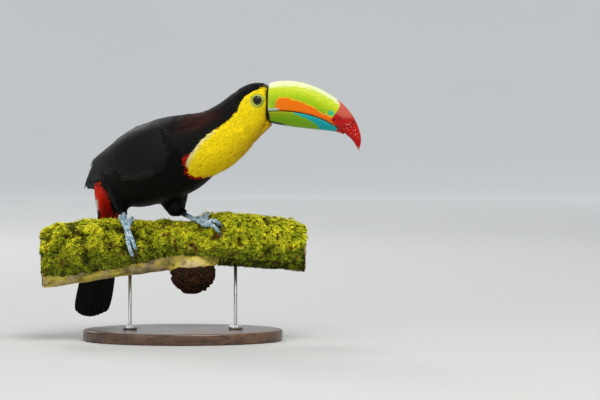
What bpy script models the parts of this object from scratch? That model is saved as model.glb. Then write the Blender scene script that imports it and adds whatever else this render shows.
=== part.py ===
"""A keel-billed toucan perched on a cut length of mossy branch, life size, on a plain display stand.

World frame: +X along the branch, towards the bill; +Y behind it; +Z up; the origin is the middle of the
stand's underside. The bird has a frame of its own, x forward, y to its left, which an empty turns and moves.
Lengths are in metres. Lengths named in a table are in millimetres, and MM turns them into metres.
"""

import math
from collections import namedtuple

import bmesh
import bpy
import numpy as np
from mathutils import Vector

MM = 0.001
GAP = 0.3 * MM  # clearance between neighbouring pieces

# How the bird stands on the branch
BIRD_YAW = math.radians(-32)  # heading, from +X towards the front
BIRD_PLACE = Vector((-32.0, 5.0, 0.0)) * MM  # its middle, over the branch

# Display stand
BASE_LENGTH, BASE_WIDTH, BASE_THICKNESS = 0.250, 0.150, 0.014
BASE_BEVEL = 0.0025
ROD_RADIUS, ROD_IN_BASE, ROD_IN_BRANCH = 0.003, 0.008, 0.012
ROD_PLACES = {"left": -0.066, "right": 0.066}
COLLAR_RADIUS, COLLAR_HEIGHT = 0.009, 0.004
HOLE_CLEARANCE = 0.0004

# Eye
EYE_RADIUS = 0.0069
EYE_PLACE = Vector((133.6, 30.2, 302.0)) * MM  # the point between the two eyes
EYE_HALF_SPAN = 0.0176
HEAD_TURN = math.radians(24)  # to the bird's left


# --- helpers -------------------------------------------------------------------------------------------------


def clear_scene():
    for old in list(bpy.data.objects):
        bpy.data.objects.remove(old, do_unlink=True)


def collection(name, shown=True):
    made = bpy.data.collections.new(name)
    bpy.context.scene.collection.children.link(made)
    made.hide_render = not shown
    return made


def finish(name, colour, roughness=0.6, metallic=0.0):
    made = bpy.data.materials.new(name)
    made.use_nodes = True
    shader = made.node_tree.nodes["Principled BSDF"]
    shader.inputs["Base Color"].default_value = (*colour, 1.0)
    shader.inputs["Roughness"].default_value = roughness
    shader.inputs["Metallic"].default_value = metallic
    return made


def smooth_rows(rows, steps):
    """Rows of numbers with a smooth curve through them, and this many steps from each row to the next."""
    rows = np.array(rows, float)
    ends = np.vstack([2 * rows[0] - rows[1], rows, 2 * rows[-1] - rows[-2]])
    made = []
    for before, start, end, after in zip(ends, ends[1:], ends[2:], ends[3:]):
        for t in np.arange(steps) / steps:
            slope_in, slope_out = (end - before) / 2, (after - start) / 2
            made.append(
                (2 * t**3 - 3 * t**2 + 1) * start
                + (t**3 - 2 * t**2 + t) * slope_in
                + (3 * t**2 - 2 * t**3) * end
                + (t**3 - t**2) * slope_out
            )
    return np.array(made + [rows[-1]])


def new_object(name, mesh, group, material, parent=None):
    made = bpy.data.objects.new(name, mesh)
    group.objects.link(made)
    if material:
        made.data.materials.append(material)
    made.parent = parent
    return made


def loft(name, rings, group, material=None, parent=None):
    """A closed solid through rings of points, which all have the same number of points."""
    build = bmesh.new()
    rows = [[build.verts.new(point) for point in ring] for ring in rings]
    for low, high in zip(rows, rows[1:]):
        for i in range(len(low)):
            j = (i + 1) % len(low)
            build.faces.new((low[i], low[j], high[j], high[i]))
    build.faces.new(rows[0])
    build.faces.new(rows[-1])
    bmesh.ops.recalc_face_normals(build, faces=build.faces)
    mesh = bpy.data.meshes.new(name)
    build.to_mesh(mesh)
    build.free()
    mesh.shade_smooth()
    mesh.set_sharp_from_angle(angle=math.radians(50))
    return new_object(name, mesh, group, material, parent)


def limb(name, path, radii, group, material=None, sides=8):
    """A tapering round tube along a path of points."""
    curve = bpy.data.curves.new(name, "CURVE")
    curve.dimensions = "3D"
    curve.bevel_depth = 1.0
    curve.bevel_resolution = (sides - 4) // 2
    curve.use_fill_caps = True
    spline = curve.splines.new("POLY")
    spline.points.add(len(path) - 1)
    for point, place, radius in zip(spline.points, path, radii):
        point.co = (*place, 1.0)
        point.radius = radius
    made = bpy.data.objects.new(name, curve)
    group.objects.link(made)
    return as_mesh(made, group, material)


def as_mesh(made, group, material=None):
    """The object's evaluated shape as a plain mesh object with its caps welded."""
    bpy.context.view_layer.update()
    graph = bpy.context.evaluated_depsgraph_get()
    mesh = bpy.data.meshes.new_from_object(made.evaluated_get(graph))
    name, place, parent = made.name, made.matrix_world.copy(), made.parent
    bpy.data.objects.remove(made, do_unlink=True)
    build = bmesh.new()
    build.from_mesh(mesh)
    bmesh.ops.remove_doubles(build, verts=build.verts, dist=1e-6)
    bmesh.ops.recalc_face_normals(build, faces=build.faces)
    build.to_mesh(mesh)
    build.free()
    mesh.materials.clear()
    solid = new_object(name, mesh, group, material)
    solid.matrix_world = place
    if parent:
        solid.parent = parent
        solid.matrix_parent_inverse = parent.matrix_world.inverted()
    return solid


def boolean(target, other, operation):
    step = target.modifiers.new(operation.lower() + "_" + other.name, "BOOLEAN")
    step.operation = operation
    step.solver = "EXACT"
    step.object = other


def as_cutter(made):
    made.hide_render = True
    made.display_type = "WIRE"
    return made


# --- the body's stations -------------------------------------------------------------------------------------

# From the bill's base back to the tail. x, y, z is the middle of each section, in the bird's frame; lean is how
# far its top leans back, turn how far it turns to the left, half_high and half_wide are its half sizes.
Station = namedtuple("Station", "x y z lean turn half_high half_wide")
BODY = [
    Station(142.6, 34.2, 296.4, 0, 24, 25.3, 17.5),  # bill base
    Station(131.7, 29.4, 292.3, 13, 24, 30.8, 23.3),  # eyes
    Station(118.0, 23.0, 281.2, 18, 22, 34.6, 26.5),  # nape
    Station(102.0, 16.4, 265.2, 21, 17, 36.2, 29.0),  # mid neck
    Station(82.0, 8.6, 251.4, 25, 10, 38.6, 33.5),  # base of the neck
    Station(58.5, 2.2, 244.2, 25, 3, 43.4, 40.0),  # shoulders
    Station(32.5, 0.4, 233.6, 21, 0, 50.6, 45.0),  # breast
    Station(0.0, 0.0, 223.0, 16, 0, 50.6, 46.0),  # middle
    Station(-31.5, 0.0, 210.2, 14, 0, 45.8, 41.0),  # belly
    Station(-56.0, 0.0, 200.2, 20, -4, 35.2, 31.5),  # rump
    Station(-70.0, 0.0, 188.5, 36, -14, 23.5, 23.0),  # vent
    Station(-75.5, 0.0, 173.5, 58, -24, 17.0, 17.5),  # tail's root
    Station(-76.3, 2.2, 156.0, 82, -30, 9.5, 14.6),
    Station(-80.1, 3.4, 138.0, 88, -30, 4.5, 14.6),  # end of the tail's coverts
]
STEPS = 3
NECK_AT, TRUNK_AT, COVERTS_AT = 2 * STEPS, 5 * STEPS, 10 * STEPS
RING_POINTS = 20
FULLNESS = 2.2  # 2 is an ellipse, and more is fuller at the corners


def superellipse(angle, fullness):
    c, s = math.cos(angle), math.sin(angle)
    return (
        math.copysign(abs(c) ** (2 / fullness), c),
        math.copysign(abs(s) ** (2 / fullness), s),
    )


def station_axes(station):
    turn, lean = math.radians(station.turn), math.radians(station.lean)
    ahead = Vector((math.cos(turn), math.sin(turn), 0))
    left = Vector((-math.sin(turn), math.cos(turn), 0))
    up = Vector((0, 0, 1)) * math.cos(lean) - ahead * math.sin(lean)
    return left, up


def station_point(station, angle, grow=0.0, shift=0.0):
    """A place on a section's outline. The angle is from its top, towards the bird's left.

    grow is how far outside the outline the place is, and shift how far ahead of the section, both in metres.
    """
    left, up = station_axes(station)
    across, high = superellipse(math.pi / 2 - angle, FULLNESS)
    return (
        Vector((station.x, station.y, station.z)) * MM
        + left.cross(up) * shift
        + left * across * (station.half_wide * MM + grow)
        + up * high * (station.half_high * MM + grow)
    )


def station_ring(station, grow=0.0, shift=0.0):
    angles = [2 * math.pi * i / RING_POINTS for i in range(RING_POINTS)]
    return [station_point(station, angle, grow, shift) for angle in angles]


def body_rings(first, last, grow=0.0):
    """Rings first to last of the smooth body, with half a gap left at each cut end."""
    stations = [Station(*row) for row in smooth_rows(BODY, STEPS)][first : last + 1]
    shifts = [0.0] * len(stations)
    if not grow:
        shifts[0], shifts[-1] = -GAP / 2, GAP / 2
    return [station_ring(s, grow, shift) for s, shift in zip(stations, shifts)]


# --- head, neck, trunk and coverts ---------------------------------------------------------------------------


def build_body(parts, cutters, bird, black, yellow, red):
    last = STEPS * (len(BODY) - 1)
    head = loft("head", body_rings(0, NECK_AT), parts, yellow, bird)
    loft("neck", body_rings(NECK_AT, TRUNK_AT), parts, yellow, bird)
    loft("trunk", body_rings(TRUNK_AT, COVERTS_AT), parts, black, bird)
    loft("tail_coverts", body_rings(COVERTS_AT, last), parts, red, bird)
    whole = loft("cut_body", body_rings(NECK_AT, last, grow=GAP), cutters, None, bird)
    return head, as_cutter(whole)


def build_eyes(head, parts, cutters, bird, glossy):
    across = Vector((-math.sin(HEAD_TURN), math.cos(HEAD_TURN), 0))
    for side, sign in (("left", 1), ("right", -1)):
        place = EYE_PLACE + across * sign * EYE_HALF_SPAN
        for name, radius, group in (
            ("eye_" + side, EYE_RADIUS, parts),
            ("cut_eye_" + side, EYE_RADIUS + GAP, cutters),
        ):
            bpy.ops.mesh.primitive_uv_sphere_add(segments=12, ring_count=7, radius=radius, location=place)
            ball = bpy.context.object
            ball.name = name
            ball.rotation_euler = (math.pi / 2, 0, HEAD_TURN)
            ball.users_collection[0].objects.unlink(ball)
            group.objects.link(ball)
            ball.parent = bird
            ball.data.shade_smooth()
        boolean(head, as_cutter(bpy.data.objects["cut_eye_" + side]), "DIFFERENCE")
        bpy.data.objects["eye_" + side].data.materials.append(glossy)


# --- bill ----------------------------------------------------------------------------------------------------

# From its base to its tip, in the head's own plane: top and bottom edge (along, up), where the mouth's line
# crosses the section as a share of its height, and its half width. along is measured from the bill's base.
BillStation = namedtuple("BillStation", "top_along top_up low_along low_up mouth half_wide")
BILL = [
    BillStation(0.0, 321.3, 0.0, 274.9, 0.275, 17.6),
    BillStation(9.0, 324.4, 8.0, 272.7, 0.303, 18.2),
    BillStation(25.1, 325.8, 21.4, 270.4, 0.328, 18.0),
    BillStation(43.8, 323.0, 35.1, 268.5, 0.340, 17.0),
    BillStation(63.7, 316.3, 51.9, 266.8, 0.332, 15.4),
    BillStation(82.4, 305.6, 68.7, 265.0, 0.290, 13.0),
    BillStation(96.6, 293.7, 83.6, 263.4, 0.184, 10.4),
    BillStation(105.9, 282.0, 94.8, 260.0, 0.065, 7.8),
    BillStation(111.7, 270.3, 102.9, 254.7, 0.0, 5.6),
    BillStation(115.6, 257.4, 107.6, 249.1, 0.0, 3.6),
    BillStation(115.3, 247.5, 110.4, 244.4, 0.0, 1.7),
    BillStation(113.3, 241.0, 112.4, 240.2, 0.0, 0.5),
]
BILL_STEPS = 2
LOWER_BILL_END = 7  # the station where the lower bill's tip lies
MOUTH_GAP = 0.5 * MM
BILL_SIDE_POINTS = 7
KEEL = 0.16  # how much of the width is left at the ridge
BILL_PLACE = Vector((BODY[0].x, BODY[0].y, 0.0)) * MM


def bill_width(share):
    """The half width at a share of the section's height, 0 at the lower edge and 1 at the ridge."""
    widest = 0.40
    if share < widest:
        return math.sqrt(max(0.0, 1 - ((widest - share) / widest) ** 2.4))
    rise = (share - widest) / (1 - widest)
    dome = max(0.0, 1 - rise**2.6) ** 0.62
    return dome + KEEL * rise**3 * max(0.0, 1 - rise**12)


def bill_ring(station, low, high, lift=0.0):
    """The part of a section from one share of its height to another, closed by a straight line."""
    ahead = Vector((math.cos(HEAD_TURN), math.sin(HEAD_TURN), 0))
    left = Vector((-math.sin(HEAD_TURN), math.cos(HEAD_TURN), 0))
    top = ahead * station.top_along * MM + Vector((0, 0, station.top_up * MM))
    bottom = ahead * station.low_along * MM + Vector((0, 0, station.low_up * MM))
    start = BILL_PLACE + ahead * GAP + Vector((0, 0, lift))
    shares = [low + (high - low) * (1 - math.cos(math.pi * i / BILL_SIDE_POINTS)) / 2
              for i in range(BILL_SIDE_POINTS + 1)]
    sides = []
    for sign, row in ((-1, shares), (1, shares[::-1])):
        for share in row:
            width = max(bill_width(share), 0.03) * station.half_wide * MM
            sides.append(start + bottom.lerp(top, share) + left * sign * width)
    return sides


def build_bill(parts, bird, green, orange):
    stations = [BillStation(*row) for row in smooth_rows(BILL, BILL_STEPS)]
    upper = [bill_ring(s, max(0.0, s.mouth) if s.mouth > 0.002 else 0.0, 1.0, MOUTH_GAP / 2) for s in stations]
    loft("bill_upper", upper, parts, green, bird)
    lower = [bill_ring(s, 0.0, s.mouth, -MOUTH_GAP / 2) for s in stations[: LOWER_BILL_END * BILL_STEPS + 1]]
    loft("bill_lower", lower, parts, orange, bird)


# --- wings ---------------------------------------------------------------------------------------------------

# Left side, from the shoulder to the wing's tip: a station it lies on, the angles of its upper and lower edges
# from the station's top, in degrees, and its thickness. It starts on the body and leaves it behind the rump.
WingStation = namedtuple("WingStation", "station upper lower thick")
WING = [
    WingStation(BODY[5], 62, 96, 1.5),
    WingStation(BODY[6], 34, 113, 6.0),
    WingStation(BODY[7], 22, 111, 7.0),
    WingStation(BODY[8], 17, 100, 6.5),
    WingStation(Station(-57.0, 0, 202.4, 19, -1, 36.6, 31.5), 12, 92, 4.5),
    WingStation(Station(-82.0, 0, 203.4, 24, 0, 21.0, 17.0), 8, 118, 3.0),
    WingStation(Station(-96.5, 0, 195.0, 30, 0, 9.0, 8.0), 5, 135, 2.2),
    WingStation(Station(-105.0, 0.8, 189.5, 35, 0, 3.0, 4.0), 5, 140, 1.2),
]
WING_STEPS = 3
WING_POINTS = 6
WING_LIFT = 0.0013  # off the body
WING_EDGE = 0.8  # thickness at its edges, millimetres


def build_wings(body_cutter, parts, bird, black):
    rows = smooth_rows([(*w.station, w.upper, w.lower, w.thick) for w in WING], WING_STEPS)
    left = []
    for row in rows:
        station, (upper, lower, thick) = Station(*row[:7]), row[7:]
        outside, inside = [], []
        for share in np.linspace(0, 1, WING_POINTS):
            angle = math.radians(upper + (lower - upper) * share)
            depth = WING_EDGE + max(0.0, thick - WING_EDGE) * math.sin(math.pi * share) ** 0.7
            outside.append(station_point(station, angle, WING_LIFT + depth * MM))
            inside.append(station_point(station, angle, WING_LIFT))
        left.append(outside + inside[::-1])
    right = [[Vector((p.x, -p.y, p.z)) for p in ring] for ring in left]
    for side, rings in (("right", right), ("left", left)):
        wing = loft("wing_" + side, rings, parts, black, bird)
        boolean(wing, body_cutter, "DIFFERENCE")


# --- tail ----------------------------------------------------------------------------------------------------

TAIL_FEATHERS = 10
COLUMNS_EACH = 3
TAIL_ROWS = 4
TAIL_ROOT = Vector((-80.3, 3.4, 137.2)) * MM
TAIL_LENGTH = 0.1145
TAIL_ROOT_WIDTH, TAIL_TIP_WIDTH = 0.029, 0.060
TAIL_TURN = math.radians(-30)
TAIL_LEAN = math.radians(5)  # of the tail's line, back from straight down
TAIL_SWEEP = math.radians(9)  # sideways, to the bird's right
TAIL_ARCH = 0.003
SHINGLE = 0.0009
TAIL_THICKNESS = 0.0018
OUTER_SHORTER = 0.012
TIP_ROUNDING = 0.0035


def tail_point(across, along):
    """A place on the fan, across from -1 to 1 and along from 0 at the root to 1 at a feather's tip."""
    width_way = Vector((-math.sin(TAIL_TURN), math.cos(TAIL_TURN), 0))
    back_way = Vector((-math.cos(TAIL_TURN), -math.sin(TAIL_TURN), 0))
    down = Vector((0, 0, -math.cos(TAIL_LEAN))) + back_way * math.sin(TAIL_LEAN)
    down = (down - width_way * math.tan(TAIL_SWEEP)).normalized()
    within = (across + 1) / 2 * TAIL_FEATHERS % 1.0 if across < 1 else 1.0
    lobe = TIP_ROUNDING * (2 * within - 1) ** 2
    length = TAIL_LENGTH - OUTER_SHORTER * abs(across) ** 2.5 - lobe
    narrower = 0.14 * max(0.0, along - 0.82) / 0.18
    half_wide = (TAIL_ROOT_WIDTH + (TAIL_TIP_WIDTH - TAIL_ROOT_WIDTH) * along) / 2 * (1 - narrower)
    step = SHINGLE * (within if across < 0 else 1 - within)
    arch = TAIL_ARCH * (1 - across**2)
    return TAIL_ROOT + down * length * along + width_way * across * half_wide + back_way * (arch + step)


def build_tail(parts, bird, black):
    columns = TAIL_FEATHERS * COLUMNS_EACH
    build = bmesh.new()
    grid = [
        [build.verts.new(tail_point(2 * c / columns - 1, r / TAIL_ROWS)) for c in range(columns + 1)]
        for r in range(TAIL_ROWS + 1)
    ]
    for low, high in zip(grid, grid[1:]):
        for c in range(columns):
            build.faces.new((low[c], low[c + 1], high[c + 1], high[c]))
    mesh = bpy.data.meshes.new("tail")
    build.to_mesh(mesh)
    build.free()
    tail = new_object("tail", mesh, parts, black, bird)
    shell = tail.modifiers.new("thickness", "SOLIDIFY")
    shell.thickness = TAIL_THICKNESS
    shell.offset = 0
    return tail


# --- branch and moss -----------------------------------------------------------------------------------------

# Along the branch: the middle's x, y, z, the bark's radius, the moss's thickness on top, and how far round from
# the top the moss reaches, in degrees.
BranchStation = namedtuple("BranchStation", "x y z radius moss reach")
BRANCH = [
    BranchStation(-176, -1, 93.5, 28.5, 20.0, 118),
    BranchStation(-146, -1, 97.0, 28.5, 23.0, 120),
    BranchStation(-114, 0, 101.6, 27.5, 23.0, 122),
    BranchStation(-82, 0, 106.0, 26.8, 18.5, 120),
    BranchStation(-50, 0, 110.0, 27.5, 12.0, 112),
    BranchStation(-16, 0, 115.0, 27.0, 8.5, 105),
    BranchStation(9, 0, 117.4, 25.4, 6.5, 108),
    BranchStation(25, 0, 118.8, 24.5, 9.5, 115),
    BranchStation(36, 0, 118.9, 24.2, 15.5, 118),
    BranchStation(48, 1, 118.8, 24.0, 18.0, 124),
    BranchStation(82, 2, 117.4, 23.8, 18.5, 128),
    BranchStation(116, 3, 114.8, 23.4, 16.0, 126),
    BranchStation(154, 4, 110.6, 23.0, 13.0, 122),
]
BRANCH_RING_POINTS = 22
MOSS_POINTS = 13
MOSS_EDGE, MOSS_SIDE = 0.0025, 0.20  # thickness at its edge, and on the sides as a share of the top's
KNOT_PLACE = Vector((11.5, -4.0, 97.0)) * MM  # the stump of a side branch, under the perch
KNOT_RADIUS, KNOT_LENGTH = 0.0285, 0.0345


def branch_at(x):
    """The branch's station at a place along it, in metres."""
    rows = np.array(BRANCH)
    return BranchStation(*[np.interp(x / MM, rows[:, 0], column) for column in rows.T])


def branch_point(station, angle, radius):
    """A point round the branch. The angle is from the top, towards the front."""
    return Vector(
        (
            station.x * MM,
            station.y * MM - radius * math.sin(angle),
            station.z * MM + radius * math.cos(angle),
        )
    )


def moss_depth(station, angle):
    share = min(1.0, abs(math.degrees(angle)) / station.reach)
    dome = MOSS_SIDE + (1 - MOSS_SIDE) * math.cos(min(1.0, share * 1.25) * math.pi / 2) ** 1.2
    return MOSS_EDGE + (station.moss * MM * dome - MOSS_EDGE) * (1 - share**6)


def moss_point(x, angle_degrees, lift=0.0):
    """A point this high above the moss, at a place along the branch."""
    station, angle = branch_at(x), math.radians(angle_degrees)
    depth = moss_depth(station, angle)
    return branch_point(station, angle, station.radius * MM + depth + lift)


def build_perch(parts, cutters, bark, moss):
    rings = []
    for s in BRANCH:
        angles = [2 * math.pi * i / BRANCH_RING_POINTS for i in range(BRANCH_RING_POINTS)]
        rings.append([branch_point(s, a, s.radius * MM) for a in angles])
    branch = loft("perch_branch", rings, parts, bark)

    rings = []
    for s in BRANCH:
        reach = math.radians(s.reach)
        angles = [reach * (2 * i / (MOSS_POINTS - 1) - 1) for i in range(MOSS_POINTS)]
        outside = [branch_point(s, a, s.radius * MM + moss_depth(s, a)) for a in angles]
        clear_of_bark = (s.radius * MM + 2 * GAP) / math.cos(reach / (MOSS_POINTS - 1))  # even mid-way between points
        inside = [branch_point(s, a, clear_of_bark) for a in angles]
        rings.append(outside + inside[::-1])
    cushion = loft("perch_moss", rings, parts, moss)

    knot = loft("cut_knot", knot_rings(0.0), cutters, bark)
    boolean(branch, as_cutter(knot), "UNION")
    boolean(cushion, as_cutter(loft("cut_knot_moss", knot_rings(2 * GAP), cutters)), "DIFFERENCE")
    return branch


def knot_rings(grow):
    """The stump of a side branch that points forward and down."""
    way = Vector((0.08, -0.36, -0.93)).normalized()
    side = way.orthogonal().normalized()
    other = way.cross(side)
    rings = []
    for along, size in ((-0.25, 0.80), (0.1, 0.96), (0.4, 1.0), (0.68, 0.93), (0.90, 0.74), (1.0, 0.48)):
        middle = KNOT_PLACE + way * along * KNOT_LENGTH
        radius = KNOT_RADIUS * size + grow
        turns = [2 * math.pi * i / 12 for i in range(12)]
        rings.append([middle + (side * math.cos(t) + other * math.sin(t)) * radius for t in turns])
    return rings


# --- legs ----------------------------------------------------------------------------------------------------

TARSUS_RADIUS = 0.0030
TOE_RADII = (0.0034, 0.0030, 0.0027, 0.0030, 0.0025, 0.0028, 0.0023, 0.0024)  # thicker at each joint's pad
CLAW_LENGTH, CLAW_RADIUS, CLAW_POINTS = 0.0085, 0.0019, 5
PAD_RADIUS, PAD_LIFT = 0.0044, 0.0052

# World frame, millimetres. thigh: x, y, z, half across, half deep, down to where the feathers end.
# toes: places along the branch and degrees round it from the top, towards the front, out to the last pad.
Leg = namedtuple("Leg", "thigh ankle foot toes")
LEGS = {
    "right": Leg(
        thigh=[(-76, 7, 204, 19, 14), (-78, 8, 188, 16, 13), (-79, 9, 174, 11, 10.5), (-77, 9, 164, 7.5, 7.5),
               (-75.5, 8, 157, 5, 5)],
        ankle=(-76.0, 10.5, 166.5),
        foot=(-68.0, 40.0),
        toes=[
            [(-67.0, 60), (-64.0, 77), (-61.0, 92)],
            [(-63.0, 53), (-59.8, 66), (-57.2, 78)],
            [(-73.5, 25), (-76.5, 8), (-78.0, -9)],
            [(-65.0, 24), (-63.5, 8), (-63.0, -9)],
        ],
    ),
    "left": Leg(
        thigh=[(-14, 13, 206, 21, 14), (-12, 15, 190, 20.5, 15), (-11, 15.5, 175, 17.5, 14.5),
               (-9.5, 14.5, 163, 13.5, 12), (-9.5, 13.5, 154.5, 7, 7)],
        ankle=(-4.5, 10.0, 160.5),
        foot=(27.0, 40.0),
        toes=[
            [(36.0, 45), (42.5, 52), (46.5, 60)],
            [(35.5, 36), (42.5, 39), (47.5, 46)],
            [(24.5, 23), (22.0, 7), (20.0, -10)],
            [(30.0, 24), (30.0, 8), (28.5, -9)],
        ],
    ),
}
TOE_STEPS = 2


def thigh_rings(rows):
    rings = []
    dense = smooth_rows(rows, 2)
    ways = np.gradient(dense[:, :3], axis=0)
    for row, way in zip(dense, ways):
        down = Vector(way).normalized()
        across = Vector((math.cos(BIRD_YAW), math.sin(BIRD_YAW), 0))
        deep = down.cross(across).normalized()
        across = deep.cross(down).normalized()
        turns = [2 * math.pi * i / 12 for i in range(12)]
        rings.append(
            [Vector(row[:3]) * MM + (across * row[3] * math.cos(t) + deep * row[4] * math.sin(t)) * MM for t in turns]
        )
    return rings


def toe_path(places):
    """The toe's middle line, lying on the moss, and its radii."""
    dense = smooth_rows(places, TOE_STEPS)
    shares = np.linspace(0, 1, len(dense))
    radii = np.interp(shares, np.linspace(0, 1, len(TOE_RADII)), TOE_RADII)
    path = [moss_point(x * MM, angle, radius + 2 * GAP) for (x, angle), radius in zip(dense, radii)]
    path[0] = path[0].lerp(path[1], 0.2)
    return path, radii


def claw_path(path):
    """A hook that goes straight on from the toe's end and then turns down to the moss."""
    ahead = (path[-1] - path[-2]).normalized()
    station = branch_at(path[-1].x)
    outward = (path[-1] - Vector((path[-1].x, station.y * MM, station.z * MM))).normalized()
    start = path[-1] + ahead * 2 * GAP
    shares = np.linspace(0, 1, CLAW_POINTS)
    return [start + ahead * CLAW_LENGTH * t + outward * (0.004 * t**2 - 0.006 * t**3) for t in shares]


def build_leg(side, leg, body_cutter, parts, cutters, black, blue, horn):
    ankle = Vector(leg.ankle) * MM
    foot = moss_point(leg.foot[0] * MM, leg.foot[1], PAD_LIFT)
    knee_end = ankle + (foot - ankle).normalized() * TARSUS_RADIUS
    line = [knee_end.lerp(foot, share) for share in (0.0, 0.35, 0.7, 1.0)]
    radii = [TARSUS_RADIUS * size for size in (1.12, 0.95, 0.95, 1.0)]
    limb("tarsus_" + side, line[:-1] + [foot - (foot - ankle).normalized() * (PAD_RADIUS * 0.2)], radii, parts, blue)
    sleeve_line = [ankle, *line[1:-1], foot - (foot - ankle).normalized() * (PAD_RADIUS * 0.2 - GAP)]
    sleeve = as_cutter(limb("cut_tarsus_" + side, sleeve_line, [r + GAP for r in radii], cutters))

    thigh = loft("thigh_" + side, thigh_rings(leg.thigh), parts, black)
    boolean(thigh, body_cutter, "DIFFERENCE")
    boolean(thigh, sleeve, "DIFFERENCE")

    bpy.ops.mesh.primitive_ico_sphere_add(subdivisions=2, radius=PAD_RADIUS, location=foot)
    pad = bpy.context.object
    pad.name = "foot_" + side
    pad.users_collection[0].objects.unlink(pad)
    parts.objects.link(pad)
    pad.data.materials.append(blue)
    for number, places in enumerate(leg.toes, start=1):
        path, toe_radii = toe_path([(leg.foot[0], leg.foot[1]), *places])
        toe = as_cutter(limb(f"cut_toe_{side}_{number}", path, toe_radii, cutters, sides=6))
        boolean(pad, toe, "UNION")
        hook = claw_path(path)
        sizes = [CLAW_RADIUS * (1 - 0.86 * t) for t in np.linspace(0, 1, CLAW_POINTS)]
        limb(f"claw_{side}_{number}", hook, sizes, parts, horn, sides=6)
    boolean(pad, sleeve, "DIFFERENCE")


# --- display stand -------------------------------------------------------------------------------------------


def build_stand(branch, parts, cutters, wood, steel):
    bpy.ops.mesh.primitive_cylinder_add(vertices=36, radius=0.5, depth=BASE_THICKNESS,
                                        location=(0, 0, BASE_THICKNESS / 2))
    base = bpy.context.object
    base.name = "stand_base"
    base.scale = (BASE_LENGTH, BASE_WIDTH, 1)
    bpy.ops.object.transform_apply(location=False, rotation=False, scale=True)
    base.users_collection[0].objects.unlink(base)
    parts.objects.link(base)
    base.data.materials.append(wood)
    edge = base.modifiers.new("edge", "BEVEL")
    edge.width = BASE_BEVEL
    edge.segments = 1
    edge.limit_method = "ANGLE"
    for side, x in ROD_PLACES.items():
        station = branch_at(x)
        under = station.z * MM - station.radius * MM
        top, foot = under + ROD_IN_BRANCH, BASE_THICKNESS - ROD_IN_BASE
        build_rod("stand_rod_" + side, x, station.y * MM, foot, top, parts, steel)
        for name, low, high, target in (
            ("cut_base_", foot - HOLE_CLEARANCE, BASE_THICKNESS + 0.01, base),
            ("cut_branch_", under - 0.02, top + HOLE_CLEARANCE, branch),
        ):
            bpy.ops.mesh.primitive_cylinder_add(vertices=12, radius=ROD_RADIUS + HOLE_CLEARANCE,
                                                depth=high - low, location=(x, station.y * MM, (low + high) / 2))
            hole = bpy.context.object
            hole.name = name + side
            hole.users_collection[0].objects.unlink(hole)
            cutters.objects.link(hole)
            boolean(target, as_cutter(hole), "DIFFERENCE")


def build_rod(name, x, y, foot, top, parts, steel):
    """A turned rod with a collar that stands on the base."""
    collar = BASE_THICKNESS + GAP
    profile = [
        (0.0, top), (ROD_RADIUS * 0.7, top), (ROD_RADIUS, top - 0.001), (ROD_RADIUS, collar + COLLAR_HEIGHT),
        (COLLAR_RADIUS * 0.8, collar + COLLAR_HEIGHT), (COLLAR_RADIUS, collar + COLLAR_HEIGHT * 0.6),
        (COLLAR_RADIUS, collar), (ROD_RADIUS, collar), (ROD_RADIUS, foot), (0.0, foot),
    ]
    build = bmesh.new()
    corners = [build.verts.new((radius, 0, height)) for radius, height in profile]
    for start, end in zip(corners, corners[1:]):
        build.edges.new((start, end))
    mesh = bpy.data.meshes.new(name)
    build.to_mesh(mesh)
    build.free()
    rod = new_object(name, mesh, parts, steel)
    rod.location = (x, y, 0)
    turn = rod.modifiers.new("turn", "SCREW")
    turn.steps = turn.render_steps = 12
    turn.use_merge_vertices = True
    turn.merge_threshold = 1e-6
    return rod


# --- the whole model -----------------------------------------------------------------------------------------


def main():
    clear_scene()
    parts, cutters = collection("toucan"), collection("cutters", shown=False)
    black = finish("black_plumage", (0.012, 0.011, 0.011), 0.65)
    yellow = finish("yellow_bib", (0.95, 0.72, 0.02), 0.7)
    red = finish("red_coverts", (0.55, 0.015, 0.008), 0.7)
    green = finish("green_bill", (0.42, 0.68, 0.04), 0.35)
    lower_green = finish("green_lower_bill", (0.20, 0.48, 0.05), 0.35)
    blue = finish("blue_leg_skin", (0.22, 0.48, 0.66), 0.5)
    horn = finish("dark_claw", (0.05, 0.045, 0.045), 0.4)
    glossy = finish("dark_eye", (0.01, 0.012, 0.008), 0.05)
    bark = finish("bark", (0.30, 0.20, 0.10), 0.85)
    moss = finish("moss", (0.22, 0.28, 0.03), 0.9)
    wood = finish("walnut", (0.10, 0.05, 0.025), 0.45)
    steel = finish("steel", (0.55, 0.55, 0.56), 0.3, 1.0)

    bird = bpy.data.objects.new("bird", None)
    parts.objects.link(bird)
    bird.location = BIRD_PLACE
    bird.rotation_euler = (0, 0, BIRD_YAW)
    bpy.context.view_layer.update()

    head, body_cutter = build_body(parts, cutters, bird, black, yellow, red)
    build_eyes(head, parts, cutters, bird, glossy)
    build_bill(parts, bird, green, lower_green)
    build_wings(body_cutter, parts, bird, black)
    build_tail(parts, bird, black)
    branch = build_perch(parts, cutters, bark, moss)
    for side, leg in LEGS.items():
        build_leg(side, leg, body_cutter, parts, cutters, black, blue, horn)
    build_stand(branch, parts, cutters, wood, steel)


main()
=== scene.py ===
# %% [markdown]
# # A keel-billed toucan on its mossy branch
#
# This lesson dresses a set of finished solids as a life-size museum model. The solids say where each part
# of the bird, its perch and its stand lies, and how big it is. Here they get skin, feathers, horn, scales,
# bark and moss. All lengths are in metres. +X runs along the branch towards the bill, +Y is behind the
# branch, and +Z is up.

# %% Load the solids
import math

import bmesh
import bpy
import numpy as np
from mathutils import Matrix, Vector, noise
from mathutils.bvhtree import BVHTree
from mathutils.kdtree import KDTree


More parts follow.
